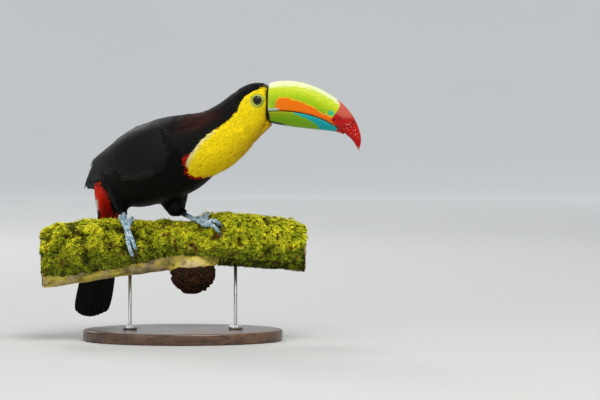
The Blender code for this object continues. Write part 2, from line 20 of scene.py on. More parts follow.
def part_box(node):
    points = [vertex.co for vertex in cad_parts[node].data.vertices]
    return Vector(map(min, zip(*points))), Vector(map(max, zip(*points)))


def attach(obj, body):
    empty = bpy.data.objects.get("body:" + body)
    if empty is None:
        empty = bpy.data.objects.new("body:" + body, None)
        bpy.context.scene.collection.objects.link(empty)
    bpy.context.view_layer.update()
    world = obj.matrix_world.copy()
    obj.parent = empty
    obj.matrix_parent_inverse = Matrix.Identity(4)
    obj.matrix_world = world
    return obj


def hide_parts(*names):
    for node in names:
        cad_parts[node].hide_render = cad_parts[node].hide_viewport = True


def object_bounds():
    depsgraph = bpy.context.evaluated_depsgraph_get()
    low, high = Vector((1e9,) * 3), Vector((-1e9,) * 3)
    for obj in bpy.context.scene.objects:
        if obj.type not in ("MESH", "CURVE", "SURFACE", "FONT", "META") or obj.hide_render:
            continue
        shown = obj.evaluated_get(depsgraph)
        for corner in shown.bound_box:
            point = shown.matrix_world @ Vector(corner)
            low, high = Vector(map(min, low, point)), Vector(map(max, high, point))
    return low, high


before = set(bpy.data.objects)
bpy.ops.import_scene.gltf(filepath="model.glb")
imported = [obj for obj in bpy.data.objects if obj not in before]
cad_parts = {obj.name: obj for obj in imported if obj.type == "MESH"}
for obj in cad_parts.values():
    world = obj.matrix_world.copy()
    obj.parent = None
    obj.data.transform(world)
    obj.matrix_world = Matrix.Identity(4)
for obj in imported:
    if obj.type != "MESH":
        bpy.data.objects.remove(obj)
bpy.context.view_layer.update()
cad_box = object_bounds()
MM = 0.001
UP = np.array([0.0, 0.0, 1.0])
print("solids:", len(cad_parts), "box:", [round(x, 4) for corner in cad_box for x in corner])

# %% [markdown]
# ## Arrays in, meshes out
# Thousands of feathers are too many to make one object at a time. Blender reads and writes whole arrays of
# corners quickly, so every shape below is worked out as numpy arrays, and becomes a mesh in one call. An
# attribute is a number that each corner carries, which a material can read later.

# %% Mesh helpers


def mesh_points(mesh, kind="co"):
    """The corners of a mesh as an array of (x, y, z)."""
    flat = np.empty(len(mesh.vertices) * 3, np.float32)
    mesh.vertices.foreach_get(kind, flat)
    return flat.reshape(-1, 3).astype(float)


def mesh_normals(mesh):
    return mesh_points(mesh, "normal")


def solid_points(node):
    return mesh_points(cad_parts[node].data)


def move_to(mesh, points):
    """Puts the corners of a mesh at new places."""
    mesh.vertices.foreach_set("co", np.asarray(points, np.float32).ravel())


def unit(vectors):
    """The same directions, each one long."""
    size = np.linalg.norm(vectors, axis=-1, keepdims=True)
    return vectors / np.maximum(size, 1e-12)


def quad_mesh(name, points, quads):
    """A smooth mesh of four-cornered faces."""
    mesh = bpy.data.meshes.new(name)
    mesh.vertices.add(len(points))
    move_to(mesh, points)
    mesh.loops.add(quads.size)
    mesh.loops.foreach_set("vertex_index", np.asarray(quads, np.int32).ravel())
    mesh.polygons.add(len(quads))
    mesh.polygons.foreach_set("loop_start", np.arange(len(quads), dtype=np.int32) * 4)
    mesh.polygons.foreach_set("use_smooth", np.ones(len(quads), bool))
    mesh.update(calc_edges=True)
    return mesh


# %% Quads and nearest places


def quads_of(mesh):
    return np.array([tuple(f.vertices) for f in mesh.polygons if len(f.vertices) == 4])


def quad_facts(points, normals, quads):
    """The area, the normal and the middle of each quad."""
    corners = points[quads]
    area = np.linalg.norm(np.cross(corners[:, 2] - corners[:, 0], corners[:, 3] - corners[:, 1]), axis=1) / 2
    return area, unit(normals[quads].mean(1)), corners.mean(1)


def surface_tree(points, faces):
    """Finds the nearest place on a surface, or the first place that a ray meets."""
    return BVHTree.FromPolygons([tuple(p) for p in points], [tuple(f) for f in faces])


def part_tree(mesh):
    return surface_tree(mesh_points(mesh), [f.vertices for f in mesh.polygons])


def corner_tree(points):
    """Finds the nearest of some points."""
    tree = KDTree(len(points))
    for i, point in enumerate(points):
        tree.insert(point, i)
    tree.balance()
    return tree


# %% Numbers on corners, and pieces


def add_number(mesh, name, values):
    """Each corner keeps one number under this name."""
    mesh.attributes.new(name, "FLOAT", "POINT").data.foreach_set("value", np.asarray(values, np.float32))


def add_vector(mesh, name, values):
    mesh.attributes.new(name, "FLOAT_VECTOR", "POINT").data.foreach_set(
        "vector", np.asarray(values, np.float32).ravel())


def place(name, mesh, finish, slot, *nodes):
    """Shows a mesh in one material, as a piece that takes over from the solids of these nodes."""
    mesh.materials.clear()
    mesh.materials.append(finish)
    piece = bpy.data.objects.new(name, mesh)
    bpy.context.scene.collection.objects.link(piece)
    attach(piece, "root")
    if nodes:
        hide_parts(*nodes)
    triangles = sum(len(face.vertices) - 2 for face in mesh.polygons)
    print(f"{name}: {len(mesh.vertices)} corners, {triangles} triangles")


# %% [markdown]
# ## From faceted solids to smooth ones
# The solids have flat facets. A subdivision surface rounds them, but it needs welded corners and clean
# quads, so a copy of each solid is welded and its triangles are joined first. A voxel remesh then turns
# several of them into one even mesh, with no seam where they met. The copies are swollen by a hair so that
# the remesh closes the thin gaps between them.

# %% Smooth copies and one remeshed whole


ROUNDED = ("SUBSURF", {"levels": 1, "render_levels": 1})  # one round of subdivision


def applied(mesh, *modifiers):
    """The mesh after these modifiers, each a type with its settings."""
    maker = bpy.data.objects.new("maker", mesh)
    bpy.context.scene.collection.objects.link(maker)
    for kind, settings in modifiers:
        modifier = maker.modifiers.new(kind, kind)
        for name, value in settings.items():
            setattr(modifier, name, value)
    seen = maker.evaluated_get(bpy.context.evaluated_depsgraph_get())
    made = bpy.data.meshes.new_from_object(seen)
    bpy.data.objects.remove(maker)
    return made


def smooth_copy(node, levels=2):
    """The solid as quads, rounded by subdivision."""
    build = bmesh.new()
    build.from_mesh(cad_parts[node].data)
    bmesh.ops.remove_doubles(build, verts=build.verts, dist=0.01 * MM)
    bmesh.ops.join_triangles(build, faces=build.faces, angle_face_threshold=0.7, angle_shape_threshold=0.9)
    mesh = bpy.data.meshes.new(node)
    build.to_mesh(mesh)
    build.free()
    return applied(mesh, ("SUBSURF", {"levels": levels, "render_levels": levels}))


def grown(mesh, amount):
    """The mesh with each corner moved out along its normal, by one amount or one for each corner."""
    move_to(mesh, mesh_points(mesh) + mesh_normals(mesh) * np.reshape(amount, (-1, 1)))
    mesh.update()
    return mesh


def joined(meshes):
    build = bmesh.new()
    for mesh in meshes:
        build.from_mesh(mesh)
    whole = bpy.data.meshes.new("whole")
    build.to_mesh(whole)
    build.free()
    return whole


def one_skin(nodes, voxel, rounds, swell=0.3 * MM, levels=2, closing=0.0):
    """The union of some solids as one smooth, even mesh of small quads. Gaps up to twice `closing` wide are
    filled: the solids are first grown by that much, and the union is shrunk by it again."""
    whole = joined([grown(smooth_copy(node, levels), swell + closing) for node in nodes])
    whole = applied(
        whole,
        ("REMESH", {"mode": "VOXEL", "voxel_size": voxel, "use_smooth_shade": True}),
        ("SMOOTH", {"factor": 0.5, "iterations": rounds}),
    )
    if closing:
        whole = applied(grown(whole, -closing), ("SMOOTH", {"factor": 0.5, "iterations": 5}))
    return whole


FLESH = ["head", "neck", "trunk", "tail_coverts", "wing_right", "wing_left", "thigh_right", "thigh_left"]
smooth_parts = {node: smooth_copy(node) for node in FLESH + ["bill_upper", "tail"]}
skin = one_skin(FLESH, 1.6 * MM, 8, closing=3 * MM)
print("skin:", len(skin.vertices), "corners")

# %% [markdown]
# ## The line of the back
# Feathers lie along the body from the bill to the tail, and the bird's markings run along it too. Both need
# to know how far along the body a place is, and how far round it. So a line is threaded through the middles
# of the solids. A place's `along` runs from 0 at the bill to 1 at the tail, and its `around` is 0 on the
# back and 1 on the belly.

# %% The middle line


def shared_end(first, second, reach=4 * MM):
    """The middle of the face where one part meets the next."""
    a, b = mesh_points(smooth_parts[first]), mesh_points(smooth_parts[second])
    tree = corner_tree(b)
    near = np.array([tree.find(point)[2] < reach for point in a])
    return (a[near].min(0) + a[near].max(0)) / 2


def middles(node, start, end, count):
    """Middles of slices across a part, between its two ends."""
    points = mesh_points(smooth_parts[node])
    chord = end - start
    shares = (points - start) @ chord / (chord @ chord)
    side = unit(np.cross(UP, chord))
    lift = unit(np.cross(chord, side))
    found = []
    for share in np.arange(1, count + 1) / (count + 1):
        slab = points[abs(shares - share) < 0.6 / (count + 1)]
        here = start + chord * share
        for way in (side, lift):
            offsets = (slab - here) @ way
            here = here + way * (offsets.min() + offsets.max()) / 2
        found.append(here)
    return found


ORDER = ["bill_upper", "head", "neck", "trunk", "tail_coverts", "tail"]
SLICES = {"head": 1, "neck": 2, "trunk": 4, "tail_coverts": 2}
ends = [shared_end(b, a) for a, b in zip(ORDER, ORDER[1:])]
knots = [ends[0]]
for node, start, end in zip(ORDER[1:-1], ends, ends[1:]):
    knots += middles(node, start, end, SLICES[node]) + [end]
knots = np.array(knots)
for _ in range(2):
    knots[1:-1] = (knots[:-2] + 2 * knots[1:-1] + knots[2:]) / 4
steps = np.linalg.norm(np.diff(knots, axis=0), axis=1)
distance = np.concatenate([[0], np.cumsum(steps)])
SPINE_LENGTH = distance[-1]
SPINE_POINTS = 240
shares = np.linspace(0, 1, SPINE_POINTS)
spine = np.stack([np.interp(shares * SPINE_LENGTH, distance, knots[:, i]) for i in range(3)], axis=1)
for _ in range(30):
    spine[1:-1] = (spine[:-2] + spine[2:]) / 2
spine_way = unit(np.gradient(spine, axis=0))
spine_up = np.zeros_like(spine)
spine_up[0] = unit(UP - spine_way[0] * (UP @ spine_way[0]))
for i in range(1, SPINE_POINTS):
    carried = spine_up[i - 1] - spine_way[i] * (spine_up[i - 1] @ spine_way[i])
    level = UP - spine_way[i] * (UP @ spine_way[i])
    pull = 0.2 if abs(spine_way[i, 2]) < 0.6 else 0.0
    spine_up[i] = unit(unit(carried) * (1 - pull) + unit(level) * pull)
print("middle line:", round(SPINE_LENGTH, 3), "long; ends at shares",
      [round(float(np.argmin(np.linalg.norm(spine - e, axis=1)) / SPINE_POINTS), 3) for e in ends])

# %% Where a place lies on the body
BLEND = 7 * MM  # how far the line's own bends are evened out


def on_body(points):
    """along, around (left of the back is above 0), and the way to the tail, for each point."""
    along, around, ways = [], [], []
    for block in np.array_split(points, max(1, len(points) // 2000)):
        away = ((block[:, None, :] - spine[None]) ** 2).sum(-1)
        share = np.exp(-(away - away.min(1, keepdims=True)) / (2 * BLEND**2))
        share /= share.sum(1, keepdims=True)
        middle, way, up = share @ spine, unit(share @ spine_way), unit(share @ spine_up)
        left = np.cross(way, up)
        out = block - middle
        along.append(share @ shares)
        around.append(np.arctan2((out * left).sum(1), (out * up).sum(1)) / math.pi)
        ways.append(way)
    return np.concatenate(along), np.concatenate(around), np.concatenate(ways)


skin_points = mesh_points(skin)
skin_along, skin_around, skin_way = on_body(skin_points)
print("along", skin_along.min().round(3), skin_along.max().round(3), "around", skin_around.min().round(3))

# %% [markdown]
# ## Under the feathers
# A museum's bird is skin over a form, and the feathers stand on the skin. So the smooth mesh sinks by the
# depth of the coat, and the feather tips then come back out to the outline of the solids. The sinking is
# less on the face, where feathers are tiny, and nothing thin sinks by more than a share of its thickness.

# %% Sink the skin by the coat's depth
REGIONS = {"head": 1.1, "neck": 1.9, "trunk": 2.4, "tail_coverts": 2.0, "wing_right": 2.2, "wing_left": 2.2,
           "thigh_right": 1.8, "thigh_left": 1.8}  # the coat's depth on each part, in millimetres
EYES = [np.array(sum(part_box(node), Vector()) / 2) for node in ("eye_right", "eye_left")]
EYE_RADIUS = max(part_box("eye_right")[1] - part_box("eye_right")[0]) / 2
BARE = 9.6 * MM  # how far bare skin reaches round the eye
BARE_SHIFT = np.array((-1.2, 0, -1.8)) * MM  # and it reaches further back and down than forward and up


def from_eye(points):
    """How far each point is from the middle of the nearer eye's bare patch."""
    return np.min([np.linalg.norm(points - eye - BARE_SHIFT, axis=1) for eye in EYES], axis=0)


def nearest_part(points):
    """For each point, which of the flesh parts it lies on."""
    clouds = [mesh_points(smooth_parts[node]) for node in REGIONS]
    owner = np.concatenate([np.full(len(cloud), i) for i, cloud in enumerate(clouds)])
    tree = corner_tree(np.concatenate(clouds))
    return owner[[tree.find(point)[1] for point in points]]


def neighbours_mean(mesh, values, rounds):
    """Values on corners, evened out along the edges."""
    pairs = np.empty(len(mesh.edges) * 2, np.int32)
    mesh.edges.foreach_get("vertices", pairs)
    a, b = pairs.reshape(-1, 2).T
    count = np.bincount(a, minlength=len(values)) + np.bincount(b, minlength=len(values))
    for _ in range(rounds):
        total = np.bincount(a, values[b], len(values)) + np.bincount(b, values[a], len(values))
        values = (values + total) / (1 + count)
    return values


def thickness(mesh, most=0.02):
    """How thick the solid is under each corner of its surface."""
    surface = part_tree(mesh)
    return np.array([surface.ray_cast(Vector(p) - Vector(n) * 0.05 * MM, -Vector(n), most)[3] or most
                     for p, n in zip(mesh_points(mesh), mesh_normals(mesh))])


region = nearest_part(skin_points)
REGION_NAMES = list(REGIONS)
is_wing = np.isin(region, [REGION_NAMES.index("wing_right"), REGION_NAMES.index("wing_left")])
edge = neighbours_mean(skin, is_wing.astype(float), 22)
edge = np.clip(6 * edge * (1 - edge), 0, 1)
edge *= ((np.abs(skin_around) < 0.42) | (skin_along < 0.5)) & (skin_along < 0.68)
for _ in range(90):
    even = np.stack([neighbours_mean(skin, skin_points[:, axis], 1) for axis in range(3)], 1)
    skin_points = skin_points + (even - skin_points) * edge[:, None]
move_to(skin, skin_points)
skin.update()
depth = np.array(list(REGIONS.values()))[region] * MM
depth *= np.clip((from_eye(skin_points) - BARE) / (5 * MM), 0.1, 1)
depth = neighbours_mean(skin, np.minimum(depth, 0.3 * thickness(skin)), 4)
grown(skin, -depth)
skin_points, skin_normals = mesh_points(skin), mesh_normals(skin)
print("coat depth from", round(depth.min() / MM, 2), "to", round(depth.max() / MM, 2), "mm")

# %% [markdown]
# ## The lie of the feathers
# Every feather points the way water runs off the bird: back from the bill, along the body, down the legs
# and out to the wing's tip. One direction is kept for each corner of the skin, flattened onto the skin
# there.

# %% A direction for each place


def far_end(node, from_point):
    """The place on a part that is furthest from a point, as the mean of its last few corners."""
    points = mesh_points(smooth_parts[node])
    far = np.argsort(np.linalg.norm(points - from_point, axis=1))[-6:]
    return points[far].mean(0)


skin_lie = skin_way.copy()
for side in ("right", "left"):
    wing, thigh = region == REGION_NAMES.index("wing_" + side), region == REGION_NAMES.index("thigh_" + side)
    tip = far_end("wing_" + side, ends[2])
    middle = mesh_points(smooth_parts["wing_" + side]).mean(0)
    skin_lie[wing] = unit(tip + (tip - middle) * 0.8 - skin_points[wing])
    low, high = (np.array(corner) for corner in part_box("tarsus_" + side))
    ankle = np.array([(low[0] + high[0]) / 2, (low[1] + high[1]) / 2, high[2] - 12 * MM])
    skin_lie[thigh] = unit(ankle - skin_points[thigh])
for axis in range(3):
    skin_lie[:, axis] = neighbours_mean(skin, skin_lie[:, axis], 5)
skin_lie = unit(skin_lie - skin_normals * (skin_lie * skin_normals).sum(1, keepdims=True))
print("directions:", len(skin_lie), "mean", skin_lie.mean(0).round(2))

# %% [markdown]
# ## Where feathers grow
# Random places clump and leave gaps. Real feathers keep their distance, so places are drawn at random and
# kept only if no kept one is too near. The spacing differs from part to part: tiny on the face, wide on the
# back.

# %% Places for the roots
draw = np.random.default_rng(11)
quads = quads_of(skin)
skin_tree = surface_tree(skin_points, quads)
quad_area, quad_normal, quad_middle = quad_facts(skin_points, skin_normals, quads)


def spread(chosen, spacing):
    """Roots on the chosen quads, about this far apart, as a quad's number and a place on it."""
    tries = int(quad_area[chosen].sum() / spacing**2 * 3.2)
    picked = draw.choice(chosen, tries, p=quad_area[chosen] / quad_area[chosen].sum())
    u, v = draw.random((2, tries, 1))
    a, b, c, d = (skin_points[quads[picked, i]] for i in range(4))
    places = (a * (1 - u) + b * u) * (1 - v) + (d * (1 - u) + c * u) * v
    cells = np.floor(places / spacing).astype(int)
    kept, taken = [], {}
    near = [(i, j, k) for i in (-1, 0, 1) for j in (-1, 0, 1) for k in (-1, 0, 1)]
    limit = (0.8 * spacing) ** 2
    for number, (place, cell) in enumerate(zip(places.tolist(), cells.tolist())):
        x, y, z = place
        for i, j, k in near:
            for other in taken.get((cell[0] + i, cell[1] + j, cell[2] + k), ()):
                if (other[0] - x) ** 2 + (other[1] - y) ** 2 + (other[2] - z) ** 2 < limit:
                    break
            else:
                continue
            break
        else:
            taken.setdefault(tuple(cell), []).append(place)
            kept.append(number)
    return picked[kept], places[kept]


print("skin:", len(quads), "quads,", round(float(quad_area.sum()) * 1e4), "square cm")

# %% [markdown]
# ## A feather's vane
# A feather is a thin blade: narrow at its root, full in the middle, round or frayed at its tip, and a
# little arched across. Here each one is a strip of quads three corners wide. Its middle line is walked over
# the skin step by step, so that it hugs the body, and it rises as it goes, so that its tip lies over the
# roots of the next ones.

# %% Lay vanes over the skin
ROUND_VANE = [(0, 0.45), (0.22, 0.85), (0.5, 1.0), (0.78, 0.86), (0.93, 0.52), (1, 0.1)]
SOFT_VANE = [(0, 0.6), (0.3, 1.0), (0.62, 0.8), (0.88, 0.36), (1, 0.05)]
TINY_VANE = [(0, 0.7), (0.4, 1.0), (0.8, 0.6), (1, 0.1)]
ACROSS = np.array([-1.0, 0.0, 1.0])


def walk(roots, ways, normals, length, shares, hug):
    """Middle lines over the skin, from each root towards the tip, with the skin's normal along them."""
    line, up, way = [roots], [normals], ways
    for before, share in zip(shares, shares[1:]):
        step = length * (share - before)
        ahead = line[-1] + way * step[:, None]
        found, facing = ahead.copy(), up[-1].copy()
        for i, target in enumerate(ahead):
            place, _, face, away = skin_tree.find_nearest(target, 4 * MM)
            if place is not None and away < hug + 0.12 * step[i]:
                found[i], facing[i] = place, quad_normal[face]
        facing = unit(facing * 0.7 + up[-1] * 0.3)
        line.append(found)
        up.append(facing)
        way = unit(way - facing * (way * facing).sum(1, keepdims=True))
    return np.stack(line, 1), np.stack(up, 1)


def blades_on(line, up, width, rise, shape, arch, lift):
    """Corners of vanes along given middle lines, as (vane, row, column, xyz)."""
    along = unit(np.gradient(line, axis=1))
    side = unit(np.cross(up, along))
    height = lift[:, None] + rise[:, None] * np.power([row[0] for row in shape], 0.85)[None]
    half = width[:, None] * np.array([row[1] for row in shape])[None] / 2
    middle = line + up * height[..., None]
    offset = side[:, :, None] * (half[..., None] * ACROSS)[..., None]
    drop = up[:, :, None] * (half[..., None] * (1 - np.abs(ACROSS)) * arch)[..., None]
    return middle[:, :, None] + offset + drop


def vanes(roots, ways, normals, length, width, rise, shape, hug):
    """Vanes that start at their roots and follow the skin in the ways given."""
    line, up = walk(roots, ways, normals, length, [row[0] for row in shape], hug)
    lift = (0.15 + 0.25 * draw.random(len(roots))) * MM
    return blades_on(line, up, width, rise, shape, 0.16, lift)


# %% Many vanes as one mesh


def vane_mesh(name, grid, marks, at, patch=0.003):
    """One mesh of many vanes, where all of a feather carries the same marks. `at` is where its root lies on
    the unwrapped skin, and `patch` is its share of that."""
    count, rows, columns, _ = grid.shape
    first = (np.arange(rows - 1)[:, None] * columns + np.arange(columns - 1)).ravel()
    one = np.stack([first, first + 1, first + columns + 1, first + columns], 1)
    faces = (one[None] + np.arange(count)[:, None, None] * rows * columns).reshape(-1, 4)
    mesh = quad_mesh(name, grid.reshape(-1, 3), faces)
    each = rows * columns
    for mark, values in marks.items():
        add_number(mesh, mark, np.repeat(values, each))
    across, along = np.meshgrid(np.linspace(-1, 1, columns), np.linspace(0, 1, rows))
    inside = np.stack([across.ravel(), along.ravel(), 0 * across.ravel()], 1)
    add_vector(mesh, "vane", np.tile(inside, (count, 1)))
    unwrap = mesh.uv_layers.new(name="OFBake")
    root = (at - at.min(0)) / np.maximum(np.ptp(at, axis=0), 1e-6)
    places = patch + (1 - 2 * patch) * root[:, None] + ((inside[:, :2] * (0.5, 1) + (0, -0.5)) * patch)[None]
    unwrap.data.foreach_set("uv", places.reshape(-1, 2)[faces.ravel()].astype(np.float32).ravel())
    return mesh


# %% A coat of feathers
SHOWN = 0.68  # how far along a vane its colour is read, because the rest is covered


def coat(chosen, spacing, length, width, rise, shape, varied=0.15, hug=3 * MM):
    """Feathers of one size over the chosen quads."""
    picked, roots = spread(chosen, spacing)
    count = len(roots)
    lie = unit(skin_lie[quads[picked]].mean(1))
    normal = quad_normal[picked]
    sway = draw.normal(0, 0.09, (count, 1))
    lie = unit(lie + np.cross(normal, lie) * sway)
    scale = 1 + draw.uniform(-varied, varied, count)
    grid = vanes(roots, lie, normal, length * scale, width * scale, np.full(count, rise), shape, hug)
    return grid, marks_for(grid, shape), np.stack(on_body(roots)[:2], 1)


def marks_for(grid, shape):
    """What the materials need to know of each vane, read where the vane shows."""
    seen_row = int(np.argmin([abs(row[0] - SHOWN) for row in shape]))
    seen = grid[:, seen_row, grid.shape[2] // 2]
    along, around, _ = on_body(seen)
    return {"along": along, "around": around, "eye": from_eye(seen), "tone": draw.random(len(grid))}


# %% Regions of the skin
quad_region = region[quads[:, 0]]
quad_along, quad_around, _ = on_body(quad_middle)
quad_eye = from_eye(quad_middle)
numbers = np.arange(len(quads))


def on(*parts):
    return np.isin(quad_region, [REGION_NAMES.index(part) for part in parts])


cap = on("head") & (quad_eye > BARE) & (np.abs(quad_around) < 0.22) & (quad_along < 0.075)
nape = on("neck") & (np.abs(quad_around) < 0.3)
face = on("head") & (quad_eye > BARE) & ~cap
neck = on("neck") & ~nape
trunk = on("trunk")
coverts = on("tail_coverts")
thighs = on("thigh_right", "thigh_left")
print({name: int(quad_area[mask].sum() * 1e6) for name, mask in
       {"face": face, "neck": neck, "trunk": trunk, "coverts": coverts, "thighs": thighs,
        "wings": on("wing_right", "wing_left")}.items()}, "square mm")

# %% [markdown]
# ## A short way to write nodes
# A material is a graph of nodes. Short helpers keep each graph readable: they add a node and link or set its
# inputs, do arithmetic, mix two colours, and draw a step or a line. A group is a graph that several
# materials share, with named inputs, so each material can give it its own values.

# %% Node helpers


def add(tree, kind, inputs=None, **settings):
    """A new node. Each input is a value, or the output that feeds it."""
    made = tree.nodes.new("ShaderNode" + kind)
    for name, value in settings.items():
        setattr(made, name, value)
    for name, value in (inputs or {}).items():
        if isinstance(value, bpy.types.NodeSocket):
            tree.links.new(value, made.inputs[name])
        else:
            made.inputs[name].default_value = value
    return made


def calc(tree, operation, *values, clamp=False):
    """The result of one sum on numbers or outputs."""
    return add(tree, "Math", dict(enumerate(values)), operation=operation, use_clamp=clamp).outputs[0]


def product(tree, *values):
    """All of the numbers or outputs multiplied."""
    made = values[0]
    for value in values[1:]:
        made = calc(tree, "MULTIPLY", made, value)
    return made


def place_in_vane(tree):
    """How far across its feather or leaf a point lies, and how far along it."""
    place = add(tree, "Attribute", attribute_name="vane").outputs["Vector"]
    return add(tree, "SeparateXYZ", {0: place}).outputs


def own_place(tree):
    """Where a point lies in the model."""
    return add(tree, "TexCoord").outputs["Object"]


def mix(tree, share, first, second):
    """From the first colour to the second as share goes from 0 to 1."""
    made = add(tree, "Mix", {0: share, 6: first, 7: second}, data_type="RGBA")
    return made.outputs[2]


def ramp(tree, value, low, high, to_low=0.0, to_high=1.0):
    """A soft step: to_low below low, and to_high above high."""
    inputs = {0: value, 1: low, 2: high, 3: to_low, 4: to_high}
    return add(tree, "MapRange", inputs, interpolation_type="SMOOTHSTEP").outputs[0]


def curve(tree, value, points):
    """A drawn line that gives a new value for each value from 0 to 1."""
    made = add(tree, "FloatCurve", {"Value": value})
    line = made.mapping.curves[0]
    for _ in points[2:]:
        line.points.new(0.5, 0.5)
    for point, place in zip(line.points, points):
        point.location = place
        point.handle_type = "VECTOR"
    made.mapping.update()
    return made.outputs[0]


# %% Marks and noise


def mark(tree, name):
    """A number that the mesh carries."""
    return add(tree, "Attribute", attribute_name=name).outputs["Fac"]


def wobble(tree, scale, detail=2.0, rough=0.5, vector=None, warp=0.0):
    """Cloudy noise from 0 to 1, at a number of clouds to the metre."""
    place = vector or own_place(tree)
    made = add(tree, "TexNoise", {"Vector": place, "Scale": scale, "Detail": detail, "Roughness": rough,
                                  "Distortion": warp})
    return made.outputs[0]


# %% Groups and materials
SOCKETS = {"colour": "NodeSocketColor", "number": "NodeSocketFloat", "vector": "NodeSocketVector"}


def new_group(name, inputs, outputs):
    """An empty group. Gives its graph, its inputs by name, and the node that takes its outputs."""
    tree = bpy.data.node_groups.new(name, "ShaderNodeTree")
    for label, kind, value in inputs:
        tree.interface.new_socket(label, in_out="INPUT", socket_type=SOCKETS[kind]).default_value = value
    for label, kind in outputs:
        tree.interface.new_socket(label, in_out="OUTPUT", socket_type=SOCKETS[kind])
    given = tree.nodes.new("NodeGroupInput")
    return tree, given.outputs, tree.nodes.new("NodeGroupOutput")


def give(tree, taker, **values):
    for label, value in values.items():
        tree.links.new(value, taker.inputs[label])


def use(tree, group, **values):
    """The group in a material, with its own values."""
    return add(tree, "Group", values, node_tree=group).outputs


def material(name, **settings):
    """A new material with a Principled shader, whose even settings are given here."""
    made = bpy.data.materials.new(name)
    made.use_nodes = True
    shader = made.node_tree.nodes["Principled BSDF"]
    for label, value in settings.items():
        shader.inputs[label.replace("_", " ")].default_value = value
    return made, made.node_tree, shader


def feed(tree, shader, colour=None, roughness=None, height=None, depth=0.001, strength=1.0):
    """Links what changes over the surface to the shader."""
    if colour is not None:
        tree.links.new(colour, shader.inputs["Base Color"])
    if roughness is not None:
        tree.links.new(roughness, shader.inputs["Roughness"])
    if height is not None:
        bump = add(tree, "Bump", {"Strength": strength, "Distance": depth, "Height": height})
        tree.links.new(bump.outputs[0], shader.inputs["Normal"])


# %% [markdown]
# ## The bird's markings
# The yellow bib, the red band under it, the black cap and back, the red feathers under the tail and the
# white above it are all one pattern. It is written once, in terms of `along` and `around`, so it is the
# same on both sides, and the skin and every feather on it agree. A painted picture would be another way,
# but it would blur up close. The bib's edge is two drawn lines: one along its side, and one round its end.

# %% Markings of the plumage
BIB_SIDE = [(0, 0.15), (0.009, 0.18), (0.012, 0.245), (0.02, 0.265), (0.05, 0.264), (0.062, 0.278),
            (0.09, 0.315), (0.114, 0.372), (0.156, 0.42), (0.216, 0.44), (0.254, 0.461), (0.293, 0.495),
            (0.329, 0.56), (0.364, 0.611), (0.38, 0.66), (1, 0.7)]
BIB_END = [(0, 0.378), (0.65, 0.378), (0.74, 0.388), (0.8, 0.382), (0.87, 0.369), (0.96, 0.345), (1, 0.338)]
RED_WIDTH = [(0, 0), (0.56, 0), (0.61, 0.012), (0.66, 0.014), (0.75, 0.016), (0.85, 0.012), (0.93, 0.008),
             (1, 0.006)]
RED_START = [(0, 0.99), (0.19, 0.99), (0.22, 0.83), (0.3, 0.822), (0.4, 0.808), (0.5, 0.808), (0.57, 0.815),
             (0.7, 0.865), (0.9, 0.905), (1, 0.915)]

plume, given, taker = new_group(
    "plumage_markings",
    [("Black", "colour", (0.0022, 0.0019, 0.0016, 1)), ("Maroon", "colour", (0.045, 0.008, 0.004, 1)),
     ("Yellow", "colour", (0.88, 0.66, 0.002, 1)), ("Ochre_and_shade", "colour", (0.55, 0.3, 0.004, 1)),
     ("Bib_highlight", "colour", (0.72, 0.66, 0.28, 1)), ("Red", "colour", (0.34, 0.006, 0.002, 1)),
     ("White", "colour", (0.62, 0.56, 0.45, 1)), ("Fray", "number", 1.0)],
    [("Colour", "colour")])
tone = calc(plume, "SUBTRACT", mark(plume, "tone"), 0.5)
cloud = calc(plume, "SUBTRACT", wobble(plume, 160.0, 3.0), 0.5)
fray = product(plume, calc(plume, "MULTIPLY_ADD", tone, 0.5, cloud), given["Fray"])
along = calc(plume, "MULTIPLY_ADD", fray, 0.012, mark(plume, "along"))
around = calc(plume, "MULTIPLY_ADD", fray, 0.03, calc(plume, "ABSOLUTE", mark(plume, "around")))
past_side = calc(plume, "SUBTRACT", around, curve(plume, along, BIB_SIDE))
end = curve(plume, around, BIB_END)
past_end = calc(plume, "SUBTRACT", along, end)
red_end = calc(plume, "ADD", end, curve(plume, around, RED_WIDTH))
before_red_end = calc(plume, "SUBTRACT", red_end, along)
bib = product(plume, ramp(plume, past_side, -0.004, 0.006), ramp(plume, past_end, 0.002, -0.002))
band = product(plume, ramp(plume, before_red_end, 0, 0.004), ramp(plume, around, 0.57, 0.6),
               ramp(plume, along, 0.32, 0.33))
under_tail = ramp(plume, calc(plume, "SUBTRACT", along, curve(plume, around, RED_START)), 0, 0.008)
above_tail = product(plume, ramp(plume, along, 0.81, 0.83), ramp(plume, around, 0.1, 0.06))
above_tail = calc(plume, "MAXIMUM", above_tail, product(
    plume, ramp(plume, along, 0.864, 0.874), ramp(plume, around, 0.405, 0.375)))
tail_base = product(plume, ramp(plume, along, 0.9, 0.915), ramp(plume, around, 0.475, 0.445))
warm = product(plume, ramp(plume, along, 0.13, 0.25), ramp(plume, along, 0.4, 0.3),
               calc(plume, "MULTIPLY_ADD", wobble(plume, 60.0), 1.2, 0.05),
               ramp(plume, past_side, -0.06, -0.17), ramp(plume, around, 0.42, 0.3))
# Painted highlight: the bib is paler along its upper edge, towards its rear.
edge = product(plume, ramp(plume, past_side, 0.06, 0.0), ramp(plume, along, 0.2, 0.29))
# Partly an ochre tint and partly painted shade: the bib turns ochre low down towards the belly side, most of
# all on the throat.
throat = product(plume, ramp(plume, around, 0.6, 1.0), ramp(plume, along, 0.34, 0.05, 0.25, 1))
throat = calc(plume, "MULTIPLY", throat, calc(plume, "MULTIPLY_ADD", wobble(plume, 90.0), 0.7, 0.6),
              clamp=True)

